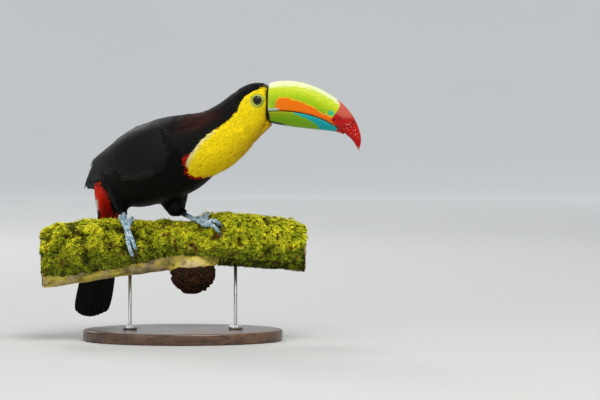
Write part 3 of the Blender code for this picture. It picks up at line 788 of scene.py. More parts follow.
# %% Colours of the plumage
plain = mix(plume, warm, given["Black"], given["Maroon"])
gold = mix(plume, throat, given["Yellow"], given["Ochre_and_shade"])
gold = mix(plume, edge, gold, given["Bib_highlight"])
shown = mix(plume, band, plain, given["Red"])
shown = mix(plume, bib, shown, gold)
red = mix(plume, ramp(plume, around, 0.38, 0.56), (0.62, 0.018, 0.003, 1), given["Red"])
shown = mix(plume, under_tail, shown, red)
shown = mix(plume, above_tail, shown, given["White"])
shown = mix(plume, tail_base, shown, given["Black"])
shade = calc(plume, "MULTIPLY_ADD", tone, 0.35, 1.0)
shown = add(plume, "HueSaturation", {"Color": shown, "Value": shade}).outputs[0]
give(plume, taker, Colour=shown)
print("plumage:", len(plume.nodes), "nodes")

# %% [markdown]
# ## What a single feather shows
# A feather's blade is made of fine barbs that slant out from a shaft in its middle. They are far too thin
# to model, so they are a bump, drawn in the feather's own directions: across it and along it. This group is
# used by every kind of feather, with more or fewer barbs.

# %% Barbs and shaft
barbs, given, taker = new_group(
    "feather_barbs",
    [("Barbs", "number", 30.0), ("Slant", "number", 0.5), ("Shaft", "number", 0.07)],
    [("Height", "number"), ("Shade", "number")])
inside = place_in_vane(barbs)
off_shaft = calc(barbs, "ABSOLUTE", inside[0])
row = calc(barbs, "SUBTRACT", inside[1], product(barbs, off_shaft, given["Slant"], 0.4))
uneven = calc(barbs, "DIVIDE", product(barbs, wobble(barbs, 900.0, 1.0), 0.6), given["Barbs"])
wave = calc(barbs, "SINE", product(barbs, calc(barbs, "ADD", row, uneven), given["Barbs"], 2 * math.pi))
shaft = ramp(barbs, off_shaft, given["Shaft"], 0.0)
height = calc(barbs, "ADD", calc(barbs, "MULTIPLY_ADD", wave, 0.5, 0.5), product(barbs, shaft, 1.5))
# Painted shade and sheen: each feather is darker towards its root and brighter towards its tip, with faint
# light and dark stripes along its barbs.
tip = ramp(barbs, inside[1], 0.0, 1.0, 0.8, 1.12)
lit = product(barbs, tip, calc(barbs, "MULTIPLY_ADD", wave, 0.08, 1.0))
give(barbs, taker, Height=height, Shade=lit)


def feather_material(name, barb_count, roughness, shine):
    made, tree, shader = material(name, Roughness=roughness, Specular_IOR_Level=shine)
    colour = use(tree, plume)["Colour"]
    blade = use(tree, barbs, Barbs=barb_count)
    lit = add(tree, "HueSaturation", {"Color": colour, "Value": blade["Shade"]}).outputs[0]
    feed(tree, shader, colour=lit, height=blade["Height"], depth=0.05 * MM, strength=0.6)
    return made


DARK = feather_material("dark_feathers", 22.0, 0.5, 0.065)
SHEEN = feather_material("sheen_feathers", 22.0, 0.45, 0.24)
WING = feather_material("wing_feathers", 22.0, 0.48, 0.15)
FLIGHT = feather_material("flight_feathers", 80.0, 0.46, 0.14)
BRIGHT = feather_material("bright_feathers", 14.0, 0.62, 0.12)
print("groups:", [g.name for g in bpy.data.node_groups])

# %% Bare skin
bare, tree, shader = material("bird_skin", Roughness=0.55, Specular_IOR_Level=0.4)
under = use(tree, plume, Fray=0.5)["Colour"]
ring = ramp(tree, calc(tree, "ADD", mark(tree, "eye"), product(tree, wobble(tree, 300.0), 2 * MM)),
            BARE + 1.5 * MM, BARE + 0.3 * MM)
lime = mix(tree, ramp(tree, mark(tree, "eye"), EYE_RADIUS, BARE), (0.4, 0.45, 0.02, 1), (0.62, 0.6, 0.012, 1))
lime = mix(tree, product(tree, wobble(tree, 700.0, 2.0), 0.6), lime, (0.24, 0.3, 0.01, 1))
pebbles = add(tree, "TexVoronoi", {"Scale": 900.0, "Vector": own_place(tree)})
feed(tree, shader, colour=mix(tree, ring, under, lime), height=pebbles.outputs["Distance"], depth=0.15 * MM)
add_number(skin, "along", np.where(is_wing, np.clip(skin_along, 0.5, 0.6), skin_along))
add_number(skin, "around", skin_around)
add_number(skin, "eye", from_eye(skin_points))
add_number(skin, "tone", np.full(len(skin_points), 0.5))
place("bird_skin", skin, bare, "black_plumage", *FLESH)

# %% [markdown]
# ## The wing's own measures
# A folded wing is built like a fan that is shut: long flight feathers lie side by side from the wing's
# middle to its tip, the lower ones under the upper ones, and a row of shorter coverts hides where they
# start. To lay them in order, each place on the wing is named by its share of the way from shoulder to tip,
# and from upper to lower edge.

# %% Places on the wing
is_quad_wing = {side: on("wing_" + side) for side in ("right", "left")}
wings = {}
for side, mask in is_quad_wing.items():
    cloud = mesh_points(smooth_parts["wing_" + side])
    tip = far_end("wing_" + side, ends[2])
    shoulder = far_end("wing_" + side, tip)
    chord = tip - shoulder
    outward = (quad_normal[mask] * quad_area[mask, None]).sum(0)
    outward = unit(outward - chord * (outward @ chord) / (chord @ chord))
    rise_way = unit(np.cross(outward, chord))
    rise_way = rise_way * np.sign(rise_way[2])
    share = (cloud - shoulder) @ chord / (chord @ chord)
    stations = np.linspace(0.03, 0.97, 24)
    slabs = [(cloud[abs(share - s) < 0.04] - shoulder) @ rise_way for s in stations]
    top, bottom = [s.max() for s in slabs] + [0.5 * MM], [s.min() for s in slabs] + [-0.5 * MM]
    wings[side] = (shoulder, chord, outward, rise_way, np.append(stations, 1), top, bottom)
wing_trees = {side: part_tree(smooth_parts["wing_" + side]) for side in wings}


def on_wing(side, share, down):
    """Places on the wing's outer face, and which way it faces there. The skin is too thin to reach the tip,
    so near the tip the places lie just inside the face of the solid."""
    shoulder, chord, outward, rise_way, stations, top, bottom = wings[side]
    past = (chord * 0.35 - rise_way * np.linalg.norm(chord) * 0.9) * np.maximum(share - 1, 0)[:, None]
    share = np.minimum(share, 1)
    high, low = np.interp(share, stations, top), np.interp(share, stations, bottom)
    height = high + (low - high) * down
    places = shoulder + share[:, None] * chord + height[:, None] * rise_way
    found, facing = [], []
    for point, to_tip in zip(places, np.clip((share - 0.68) / 0.15, 0, 1)):
        start = Vector(point + outward * 0.04)
        spot, _, face, _ = skin_tree.ray_cast(start, Vector(-outward), 0.07)
        if spot is None:
            spot, _, face, _ = skin_tree.find_nearest(Vector(point))
        edge, turned, _, _ = wing_trees[side].ray_cast(start, Vector(-outward), 0.07)
        if edge is None:
            edge, turned, _, _ = wing_trees[side].find_nearest(Vector(point))
        found.append(np.array(spot) * (1 - to_tip) + (np.array(edge) - np.array(turned) * 0.8 * MM) * to_tip)
        facing.append(quad_normal[face] * (1 - to_tip) + np.array(turned) * to_tip)
    return np.array(found) + past, unit(np.array(facing))


def wing_share(side, points):
    shoulder, chord = wings[side][:2]
    return (points - shoulder) @ chord / (chord @ chord)


def wing_down(side, points):
    shoulder, _, _, rise_way, stations, top, bottom = wings[side]
    share, height = wing_share(side, points), (points - shoulder) @ rise_way
    high, low = np.interp(share, stations, top), np.interp(share, stations, bottom)
    return (height - high) / (low - high)


print("wing chord:", {side: round(float(np.linalg.norm(w[1])), 4) for side, w in wings.items()})

# %% [markdown]
# ## Dressing the body
# The face gets the smallest feathers, the bib short soft ones, the back and breast longer ones, and the
# thighs and the tail's root soft narrow ones. Each part is a mesh of its own, so that none grows too heavy.
# Where the wing lies against the back, longer shoulder feathers close the gap.

# %% Body feathers
by_wing = neighbours_mean(skin, is_wing.astype(float), 9)[quads].mean(1)
shoulders = (trunk | on("wing_right", "wing_left")) & (by_wing > 0.12) & (by_wing < 0.88) & (
    (np.abs(quad_around) < 0.42) | (quad_along < 0.5)) & (quad_along < 0.62)
front = {side: mask & (wing_share(side, quad_middle) < 0.4) for side, mask in is_quad_wing.items()}
under_wing = np.any([mask & (wing_down(side, quad_middle) > 0.78) & (
    np.abs(wing_share(side, quad_middle) - 0.6) < 0.22) for side, mask in is_quad_wing.items()], axis=0)
FLANK = [(0.45, 0.6), (0.516, 0.588), (0.563, 0.573), (0.618, 0.56), (0.661, 0.54)]  # the line along, around
flank = (trunk | on("wing_right", "wing_left")) & (quad_along > 0.475) & (quad_along < 0.625) & (
    np.abs(np.abs(quad_around) - np.interp(quad_along, *np.array(FLANK).T)) < 0.018)
BLACK, BIB = "black_plumage", "bib_plumage"
COATS = [  # name, where, spacing, length, width, rise, blade, material, slot
    ("cap", cap, 1.1, 5.5, 1.6, 1.9, SOFT_VANE, BRIGHT, BIB),
    ("nape", nape, 1.35, 8.0, 2.0, 2.5, SOFT_VANE, BRIGHT, BIB),
    ("face", face, 1.0, 3.6, 1.15, 0.75, TINY_VANE, BRIGHT, BIB),
    ("neck", neck, 1.35, 7.5, 1.9, 1.45, SOFT_VANE, BRIGHT, BIB),
    ("breast", trunk & (quad_along < 0.46), 1.5, 8.5, 2.6, 1.7, ROUND_VANE, DARK, BLACK),
    ("trunk", trunk & (quad_along >= 0.44), 1.9, 13.0, 3.6, 2.0, ROUND_VANE, DARK, BLACK),
    ("thighs", thighs, 1.4, 9.0, 2.2, 1.1, SOFT_VANE, WING, BLACK),
    ("tail_root", coverts & (by_wing < 0.05), 1.7, 12.0, 3.2, 1.5, SOFT_VANE, BRIGHT, "red_coverts"),
    ("wing_right", front["right"], 2.2, 11.0, 4.2, 1.9, ROUND_VANE, WING, BLACK),
    ("wing_left", front["left"], 2.2, 11.0, 4.2, 1.9, ROUND_VANE, WING, BLACK),
    ("under_wing", under_wing, 1.8, 10.0, 3.0, 1.0, ROUND_VANE, DARK, BLACK),
    ("flank", flank, 1.6, 15.0, 2.6, 2.6, SOFT_VANE, SHEEN, BLACK),
    ("shoulders", shoulders, 2.0, 13.5, 4.0, 2.1, ROUND_VANE, DARK, BLACK),
]
for name, where, spacing, length, width, rise, shape, finish, slot in COATS:
    grid, marks, at = coat(numbers[where], spacing * MM, length * MM, width * MM, rise * MM, shape)
    if "wing" in name or "flank" in name:
        marks["along"] = np.clip(marks["along"], 0.48, 0.6)
    name = "feathers_" + name
    place(name, vane_mesh(name, grid, marks, at), finish, slot)

# %% [markdown]
# ## Cuffs at the ankles
# The feathered thigh doesn't stop at the scaly shank. Its last feathers hang over the joint like a short
# trouser leg. Three rings of them are laid round the top of each shank, each ring a little further
# down.

# %% Ankle cuffs
cuff_lines, cuff_ups = [], []
for side in ("right", "left"):
    shank = solid_points("tarsus_" + side)
    top = shank[shank[:, 2] > shank[:, 2].max() - 3 * MM].mean(0)
    bottom = shank[np.linalg.norm(shank - top, axis=1).argsort()[-8:]].mean(0)
    down = unit(bottom - top)
    joint = skin_tree.ray_cast(Vector(bottom), Vector(-down), 0.1)[0]  # where the shank leaves the thigh
    joint = top if joint is None else np.array(joint)
    print("cuff", side, "starts", round(float((joint - top) @ down) / MM, 1), "mm down the shank")
    from_axis = shank - top - ((shank - top) @ down)[:, None] * down
    radius = np.median(np.linalg.norm(from_axis, axis=1))
    first = unit(np.cross(down, (0, 1, 0)))
    second = np.cross(down, first)
    for ring, start in enumerate((-2.5, -0.2, 2.1) if side == "left" else (-2.0, 1.2, 4.4)):
        turn = np.linspace(0, 2 * math.pi, 19)[:-1] + 0.17 * ring + draw.normal(0, 0.05, 18)
        out = first * np.cos(turn)[:, None] + second * np.sin(turn)[:, None]
        reach = draw.uniform(5.0, 7.5, 18) * MM
        line = [joint + down * start * MM + out * (radius + (0.9 - 0.7 * share) * MM)
                + down * (reach * share)[:, None] for share, _ in SOFT_VANE]
        cuff_lines.append(np.stack(line, 1))
        cuff_ups.append(np.repeat(out[:, None], len(SOFT_VANE), 1))
line, up = np.concatenate(cuff_lines), np.concatenate(cuff_ups)
widths = draw.uniform(2.0, 2.8, len(line)) * MM
flat = np.full(len(line), MM)
grid = blades_on(line, up, widths, 0.5 * flat, SOFT_VANE, 0.2, 0.2 * flat)
marks = marks_for(grid, SOFT_VANE)
marks["along"] = np.clip(marks["along"], 0.48, 0.6)
mesh = vane_mesh("feathers_cuffs", grid, marks, np.stack(on_body(grid[:, 0, 1])[:2], 1))
place("feathers_cuffs", mesh, DARK, "black_plumage")

# %% [markdown]
# ## Chin
# The feathers don't stop where the bill starts. Under the lower bill they run on in a short point. They are
# laid forwards from the last of the throat, so that they cover the corner.

# %% Chin
corner = on("head") & (np.abs(quad_around) > 0.85) & (quad_middle[:, 0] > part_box("head")[1][0] - 13 * MM)
picked, roots = spread(numbers[corner], 1.0 * MM)
bill_points = solid_points("bill_lower")
ahead = unit((bill_points.mean(0) - roots.mean(0)) * (1, 1, 0))
out = unit(quad_normal[picked] * (0.3, 1, 1))
forward = bill_points @ ahead
bill_under = bill_points[forward < forward.min() + 2 * MM][:, 2].min()
tips = roots + ahead * (forward.min() + draw.uniform(-0.5, 3.0, len(roots)) * MM - roots @ ahead)[:, None]
tips[:, 2] = bill_under - draw.uniform(1.5, 4.2, len(roots)) * MM
line = np.stack([roots * (1 - share) + tips * share + out * (0.4 + 1.6 * share * (1 - share)) * MM
                 for share, _ in SOFT_VANE], 1)
up = np.repeat(out[:, None], len(SOFT_VANE), 1)
widths = draw.uniform(1.7, 2.3, len(roots)) * MM
flat = np.full(len(roots), MM)
grid = blades_on(line, up, widths, 0.5 * flat, SOFT_VANE, 0.2, 0.2 * flat)
marks = marks_for(grid, SOFT_VANE)
marks["along"] = np.maximum(marks["along"], 0.02)
mesh = vane_mesh("feathers_chin", grid, marks, np.stack(on_body(roots)[:2], 1))
place("feathers_chin", mesh, BRIGHT, "bib_plumage")
print("chin:", len(roots), "feathers")

# %% [markdown]
# ## Flight feathers
# The wing's long feathers are laid one by one. Each row of the table is one tract: how many feathers, where
# the first and last start, where they end, how wide they are, and how high they lie over the skin. Upper
# feathers cover lower ones, so each next feather of a tract is lifted by a hair.

# %% The folded wing
LONG_VANE = [(0, 0.5), (0.08, 0.72), (0.16, 0.88), (0.26, 0.97), (0.38, 1.0), (0.5, 1.0), (0.62, 1.0),
             (0.72, 0.98), (0.8, 0.93), (0.87, 0.84), (0.925, 0.7), (0.965, 0.5), (0.99, 0.28), (1, 0.1)]
TRACTS = [  # count, start share, start down, end share, end down, width, lift, lift per feather, rise (mm)
    (9, (0.42, 0.36), (0.4, 0.78), (1.035, 0.9), (0.3, 0.84), 9.5, 0.2, 0.06, 0.5),
    (9, (0.36, 0.3), (0.78, 0.06), (0.66, 0.94), (0.79, 0.12), 10.5, 0.3, 0.08, 1.2),
    (12, (0.27, 0.25), (0.84, 0.06), (0.5, 0.56), (0.84, 0.08), 8.5, 0.3, 0.04, 1.8),
    (13, (0.17, 0.15), (0.86, 0.06), (0.33, 0.37), (0.86, 0.08), 7.0, 0.3, 0.03, 1.9),
]
for side in ("right", "left"):
    parts = []
    for count, start, start_down, end, end_down, width, lift, step_up, rise in TRACTS:
        order = np.linspace(0, 1, count)
        first, first_down, last, last_down = (np.interp(order, (0, 1), pair)
                                              for pair in (start, start_down, end, end_down))
        last = last + draw.uniform(-0.008, 0.008, count)
        line, up = [], []
        for share, _ in LONG_VANE:
            down = first_down * (1 - share) + last_down * share
            spots, facing = on_wing(side, first * (1 - share) + last * share, down)
            line.append(spots)
            up.append(facing)
        line, up = np.stack(line, 1), np.stack(up, 1)
        for _ in range(4):
            line[:, 1:-1] = (line[:, :-2] + 2 * line[:, 1:-1] + line[:, 2:]) / 4
            up[:, 1:-1] = unit(up[:, :-2] + 2 * up[:, 1:-1] + up[:, 2:])
        flat = np.full(count, MM)
        lifts = (lift + step_up * np.arange(count)) * MM
        parts.append(blades_on(line, up, width * flat, rise * flat, LONG_VANE, 0.1, lifts))
    grid = np.concatenate(parts)
    marks = marks_for(grid, LONG_VANE)
    marks["along"] = np.clip(marks["along"], 0.5, 0.6)
    mesh = vane_mesh("flight_feathers_" + side, grid, marks, np.stack(on_body(grid[:, 0, 1])[:2], 1))
    place("flight_feathers_" + side, mesh, FLIGHT, "black_plumage")

# %% [markdown]
# ## Tail feathers
# Ten broad rectrices make the tail: the middle pair on top, and each next one tucked half under its
# neighbour. The solid gives the fan's outline. A feather's line is laid from the tail's root to where the
# outline ends in that direction, and each blade is a thin closed shape, because the tail is seen from both
# faces.

# %% The tail's own measures
tail_cloud = mesh_points(smooth_parts["tail"])
tail_root = ends[-1]
from_root = tail_cloud - tail_root
outer_third = np.argsort(np.linalg.norm(from_root, axis=1))[-len(tail_cloud) // 3:]
tail_way = unit(tail_cloud[outer_third].mean(0) - tail_root)
spread_out = from_root - (from_root @ tail_way)[:, None] * tail_way
tail_side = np.linalg.svd(spread_out - spread_out.mean(0), full_matrices=False)[2][0]
tail_side = unit(tail_side - tail_way * (tail_side @ tail_way))
tail_back = np.cross(tail_side, tail_way)
tail_back = tail_back * (1 if tail_back @ spine_up[-1] > 0 else -1)
tail_u, tail_v = from_root @ tail_way, from_root @ tail_side
print("tail:", round(float(np.ptp(tail_u)), 4), "long", round(float(np.ptp(tail_v)), 4), "wide",
      "ways", tail_way.round(2), tail_side.round(2), tail_back.round(2))

# %% The outline of the fan
RECTRICES = 10
RECTRIX_WIDTH = 15.5 * MM
near_root = tail_u < tail_u.min() + 0.25 * np.ptp(tail_u)
near_tip = tail_u > tail_u.min() + 0.7 * np.ptp(tail_u)
middle_share = np.linspace(-1, 1, RECTRICES)
root_half = np.ptp(tail_v[near_root]) / 2 - 5.5 * MM
tip_half = np.ptp(tail_v[near_tip]) / 2 - 6.8 * MM
root_mid = (tail_v[near_root].max() + tail_v[near_root].min()) / 2
tip_mid = (tail_v[near_tip].max() + tail_v[near_tip].min()) / 2
tail_faces = part_tree(smooth_parts["tail"])
print("fan:", round(float(root_half) / MM, 1), "to", round(float(tip_half) / MM, 1), "mm to each side")
RECTRIX = [(0, 0.45), (0.06, 0.6), (0.14, 0.72), (0.26, 0.82), (0.4, 0.9), (0.54, 0.96), (0.66, 1.0),
           (0.76, 1.0), (0.84, 0.97), (0.9, 0.9), (0.945, 0.76), (0.975, 0.56), (0.992, 0.33), (1, 0.14)]
COLUMNS = np.linspace(-1, 1, 7)

# %% Ten tail feathers
blades = []
for place_in_fan in middle_share:
    start = np.array([tail_u.min() + 2 * MM, root_mid + place_in_fan * root_half])
    tip_v = tip_mid + place_in_fan * tip_half
    beside = np.abs(tail_v - tip_v) < 5 * MM
    reach = tail_u[beside & near_tip].max() + (1 - 3 * place_in_fan**2) * MM
    rows = []
    for share, wide in RECTRIX:
        u, v = start[0] + (reach - start[0]) * share, start[1] + (tip_v - start[1]) * share**0.9
        across = []
        for column in COLUMNS:
            side_v = v + column * RECTRIX_WIDTH / 2 * wide
            spot = tail_root + tail_way * u + tail_side * np.clip(side_v, tail_v.min(), tail_v.max())
            over = tail_faces.ray_cast(Vector(spot + tail_back * 0.03), Vector(-tail_back), 0.08)[0]
            under = tail_faces.ray_cast(Vector(spot - tail_back * 0.03), Vector(tail_back), 0.08)[0]
            level = np.nan
            if over and under:
                level = ((np.array(over) + np.array(under)) / 2 - tail_root) @ tail_back
            across.append((u, side_v, level))
        rows.append(across)
    rows = np.array(rows)
    levels = np.where(np.isnan(rows[..., 2]), np.nanmedian(rows[..., 2]), rows[..., 2])
    for _ in range(3):
        levels[1:-1] = (levels[:-2] + 2 * levels[1:-1] + levels[2:]) / 4
        levels[:, 1:-1] = (levels[:, :-2] + 2 * levels[:, 1:-1] + levels[:, 2:]) / 4
    arch = (1 - COLUMNS**2) * 0.5 * MM
    layer = (0.8 - 1.6 * abs(place_in_fan)) * MM
    tuck = np.sign(place_in_fan) * COLUMNS * 0.25 * MM
    levels = (levels + arch + layer + tuck)[..., None]
    blades.append(tail_root + tail_way * rows[..., :1] + tail_side * rows[..., 1:2] + tail_back * levels)
grid = np.stack(blades)
marks = {"along": 0.55, "around": 0.2, "eye": 1.0}
marks = {label: np.full(RECTRICES, value) for label, value in marks.items()}
marks["tone"] = draw.random(RECTRICES) * 0.5 + 0.25
mesh = vane_mesh("tail_feathers", grid, marks, np.stack([middle_share, 0 * middle_share], 1), 0.085)
unwrap = mesh.uv_layers["OFBake"].data
strip = np.empty(len(mesh.loops) * 2, np.float32)
unwrap.foreach_get("uv", strip)
strip = strip.reshape(-1, 2)
strip[:, 1] = (strip[:, 1] - strip[:, 1].min()) / np.ptp(strip[:, 1]) * 0.96 + 0.02
unwrap.foreach_set("uv", strip.ravel())
mesh = applied(mesh, ROUNDED, ("SOLIDIFY", {"thickness": 0.4 * MM, "offset": 0}))
place("tail_feathers", mesh, FLIGHT, "black_plumage", "tail")

# %% [markdown]
# ## The bill
# A toucan's bill is a thin horny shell over a spongy core: light, smooth and a little waxy, with a keel
# along its top, saw-like notches where the halves meet, and a raised black edge where it meets the face.
# The two solids are remeshed finely, and then the rim and the notches are pushed in and out.

# %% The bill's own measures
BILL_BASE = ends[0]
BILL_TIP = far_end("bill_upper", BILL_BASE)
heading = unit((BILL_TIP - BILL_BASE) * (1, 1, 0))
bill_left = np.cross(UP, heading)
low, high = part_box("bill_upper")
BILL_LOW, BILL_HIGH = min(low.z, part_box("bill_lower")[0].z), high.z
bill_points = mesh_points(smooth_parts["bill_upper"])
BILL_LENGTH = ((bill_points - BILL_BASE) @ heading).max()
print("bill:", round(float(BILL_LENGTH) / MM, 1), "mm long")
# the line where the halves meet, as a share of the length and a share of the height
GAPE = [(0, 0.554), (0.12, 0.567), (0.238, 0.562), (0.346, 0.545), (0.432, 0.524), (0.518, 0.488),
        (0.614, 0.436), (0.7, 0.373), (0.754, 0.326), (0.86, 0.2), (1, 0.0)]
TOOTH = 3.1 * MM  # from one notch of the saw-like edge to the next


def on_bill(points):
    """How far along the bill a place is, and how high up it, both from 0 to 1."""
    return (points - BILL_BASE) @ heading / BILL_LENGTH, (points[:, 2] - BILL_LOW) / (BILL_HIGH - BILL_LOW)


def bill_part(name, upper):
    mesh = one_skin([name], 0.62 * MM, 3, swell=0.05 * MM)
    points, normals = mesh_points(mesh), mesh_normals(mesh)
    reach, level = on_bill(points)
    from_gape = (level - np.interp(reach, *np.array(GAPE).T)) * (BILL_HIGH - BILL_LOW) * (1 if upper else -1)
    notch = np.clip(1 - from_gape / (2.6 * MM), 0, 1) ** 2 * np.clip((reach - 0.12) / 0.1, 0, 1)
    notch *= np.abs((points @ bill_left - BILL_BASE @ bill_left) / (17 * MM)) ** 0.3
    teeth = np.abs((reach * BILL_LENGTH / TOOTH) % 1.0 - 0.5) * 2
    rim = np.exp(-((reach * BILL_LENGTH / (1.5 * MM)) ** 4))
    behind_rim = np.exp(-(((reach * BILL_LENGTH - 2.6 * MM) / (0.8 * MM)) ** 2))
    points = points + normals * ((rim * 0.45 - behind_rim * 0.25 - notch * teeth * 0.3) * MM)[:, None]
    points[:, 2] -= np.clip(1 - from_gape / (2 * MM), 0, 1) * (0.6 if upper else -0.6) * MM
    move_to(mesh, points)
    add_number(mesh, "reach", reach)
    add_number(mesh, "level", level)
    return mesh


# %% [markdown]
# ## The bill's colours
# A pale cream painted highlight along the keel, lime on the side, an orange flame, a blue patch on the lower
# half and a red tip.
# Each patch lies between two lines drawn along the bill, and a little noise moves its edge, as it does in
# real horn, where colours run into each other in fine streaks.

# %% Lines and values on the bill
KEEL_LINE = [(0, 0.95), (0.185, 0.979), (0.346, 0.972), (0.507, 0.908), (0.646, 0.808), (0.775, 0.665),
             (0.9, 0.47), (1, 0.1)]
LOWER_LINE = [(0, 0.405), (0.07, 0.385), (0.185, 0.352), (0.3, 0.33), (0.45, 0.31), (0.59, 0.289),
              (0.76, 0.265), (1, 0.2)]
FLAME_TOP = [(0, 0.4), (0.105, 0.56), (0.125, 0.7), (0.155, 0.748), (0.249, 0.745), (0.378, 0.69),
             (0.5, 0.622), (0.575, 0.54), (0.66, 0.495), (0.735, 0.43), (1, 0.3)]
FLAME_LOW = [(0, 0.64), (0.1, 0.6), (0.15, 0.578), (0.2, 0.55), (0.3, 0.53), (0.43, 0.5), (0.503, 0.47),
             (0.636, 0.4), (0.732, 0.33), (1, 0.3)]
BLUE_LOW = [(0, 0.7), (0.29, 0.56), (0.325, 0.525), (0.44, 0.455), (0.51, 0.4), (0.55, 0.36), (0.575, 0.25),
            (1, 0)]
RED_FROM = [(0, 0.70), (0.262, 0.735), (0.32, 0.765), (0.377, 0.735), (0.438, 0.69), (0.51, 0.735),
            (0.564, 0.757), (0.629, 0.782), (0.722, 0.757), (1, 0.72)]

horn, given, taker = new_group(
    "bill_markings",
    [("Keel_highlight", "colour", (0.66, 0.7, 0.38, 1)), ("Lime", "colour", (0.45, 0.55, 0.01, 1)),
     ("Green", "colour", (0.22, 0.43, 0.004, 1)), ("Olive", "colour", (0.3, 0.32, 0.004, 1)),
     ("Leaf", "colour", (0.17, 0.36, 0.004, 1)), ("Orange", "colour", (0.75, 0.15, 0.001, 1)),
     ("Blue", "colour", (0.004, 0.34, 0.36, 1)), ("Red", "colour", (0.45, 0.006, 0.004, 1)),
     ("Pink", "colour", (0.5, 0.09, 0.06, 1)), ("Dark", "colour", (0.2, 0.006, 0.008, 1)),
     ("Streaks", "number", 1.0)],
    [("Colour", "colour"), ("Height", "number")])
even_reach, even_level = mark(horn, "reach"), mark(horn, "level")
place_on = {0: product(horn, even_reach, 3.0), 1: product(horn, even_level, 9.0)}
place_on = add(horn, "CombineXYZ", place_on).outputs[0]
streak = calc(horn, "SUBTRACT", wobble(horn, 5.0, 4.0, 0.65, place_on), 0.5)
mottle = calc(horn, "SUBTRACT", wobble(horn, 220.0, 3.0, 0.6), 0.5)
moved = product(horn, calc(horn, "ADD", streak, mottle), given["Streaks"], 0.045)
reach = calc(horn, "MULTIPLY_ADD", moved, 0.8, even_reach)
level = calc(horn, "ADD", even_level, moved)

# %% Masks on the bill


def above(line, soft=0.012, value=None, place=None):
    """1 above a drawn line, and 0 below it."""
    gap = calc(horn, "SUBTRACT", value or level, curve(horn, place or reach, line))
    return ramp(horn, gap, -soft, soft)


def both(*masks):
    return product(horn, *masks)


def below(line, soft=0.012):
    return calc(horn, "SUBTRACT", 1.0, above(line, soft))


# %% Upper half
upper_half = above(GAPE, 0.004, even_level, even_reach)
under_keel = calc(horn, "SUBTRACT", curve(horn, reach, KEEL_LINE), level)
side = mix(horn, ramp(horn, under_keel, 0.08, 0.32), given["Lime"], given["Green"])
# Painted highlight: streaks of pale yellow-green just under the keel.
streaked_highlight = both(ramp(horn, under_keel, 0.2, 0.1), ramp(horn, streak, 0.0, 0.15))
side = mix(horn, streaked_highlight, side, (0.6, 0.65, 0.03, 1))
# Painted highlight: a pale cream stripe along the keel, and a patch of it at the top of the bill's base.
highlight_width = calc(horn, "MULTIPLY_ADD", reach, -0.08, 0.1)
side = mix(horn, ramp(horn, calc(horn, "DIVIDE", under_keel, highlight_width), 1.0, 0.35), side, given["Keel_highlight"])
side = mix(horn, both(ramp(horn, reach, 0.09, 0.02), ramp(horn, level, 0.8, 0.6)), side, (0.5, 0.55, 0.04, 1))
side = mix(horn, both(ramp(horn, reach, 0.045, 0.015), ramp(horn, level, 0.72, 0.84)), side, given["Keel_highlight"])
blotch = both(ramp(horn, reach, 0.655, 0.67), ramp(horn, reach, 0.735, 0.72), ramp(horn, level, 0.475, 0.49),
              ramp(horn, level, 0.585, 0.565), ramp(horn, mottle, -0.12, 0.02))
side = mix(horn, blotch, side, (0.02, 0.42, 0.2, 1))
flecks = both(ramp(horn, reach, 0.57, 0.6), ramp(horn, reach, 0.68, 0.64), ramp(horn, level, 0.5, 0.52),
              ramp(horn, level, 0.6, 0.57), ramp(horn, mottle, -0.02, 0.05))
side = mix(horn, flecks, side, (0.03, 0.2, 0.03, 1))
flame = both(below(FLAME_TOP, 0.01), above(FLAME_LOW, 0.006))
rim_glow = both(below([(x, y + 0.02) for x, y in FLAME_TOP], 0.014), above(FLAME_LOW, 0.006))
side = mix(horn, product(horn, rim_glow, 0.7), side, (0.85, 0.42, 0.01, 1))
fire = mix(horn, ramp(horn, reach, 0.3, 0.75), given["Orange"], (0.75, 0.13, 0.004, 1))
side = mix(horn, flame, side, fire)
sliver = both(ramp(horn, reach, 0.17, 0.13), ramp(horn, level, 0.563, 0.575), ramp(horn, level, 0.612, 0.595))
side = mix(horn, sliver, side, (0.36, 0.46, 0.4, 1))

# %% Lower half and tip
depth_down = calc(horn, "SUBTRACT", curve(horn, reach, GAPE), level)
lower = mix(horn, ramp(horn, calc(horn, "ADD", depth_down, product(horn, reach, 0.25)), 0.02, 0.16),
            given["Olive"], given["Leaf"])
lower = mix(horn, both(ramp(horn, streak, 0.03, 0.14), ramp(horn, depth_down, 0.09, 0.16),
                       ramp(horn, reach, 0.34, 0.46)), lower, (0.03, 0.32, 0.2, 1))
lower = mix(horn, above(BLUE_LOW, 0.014), lower, given["Blue"])
tip = mix(horn, ramp(horn, mottle, -0.05, 0.1), given["Red"], given["Dark"])
tip = mix(horn, ramp(horn, level, 0.42, 0.25), tip, given["Red"])
rosy = both(ramp(horn, under_keel, 0.2, 0.12), ramp(horn, level, 0.42, 0.52))
tip = mix(horn, rosy, tip, given["Pink"])
chipped = both(ramp(horn, wobble(horn, 420.0, 3.0, 0.7), 0.6, 0.66), ramp(horn, level, 0.15, 0.2),
               ramp(horn, level, 0.42, 0.36))
tip = mix(horn, chipped, tip, (0.75, 0.42, 0.32, 1))
tip = mix(horn, ramp(horn, level, 0.07, 0.03), tip, (0.62, 0.27, 0.1, 1))

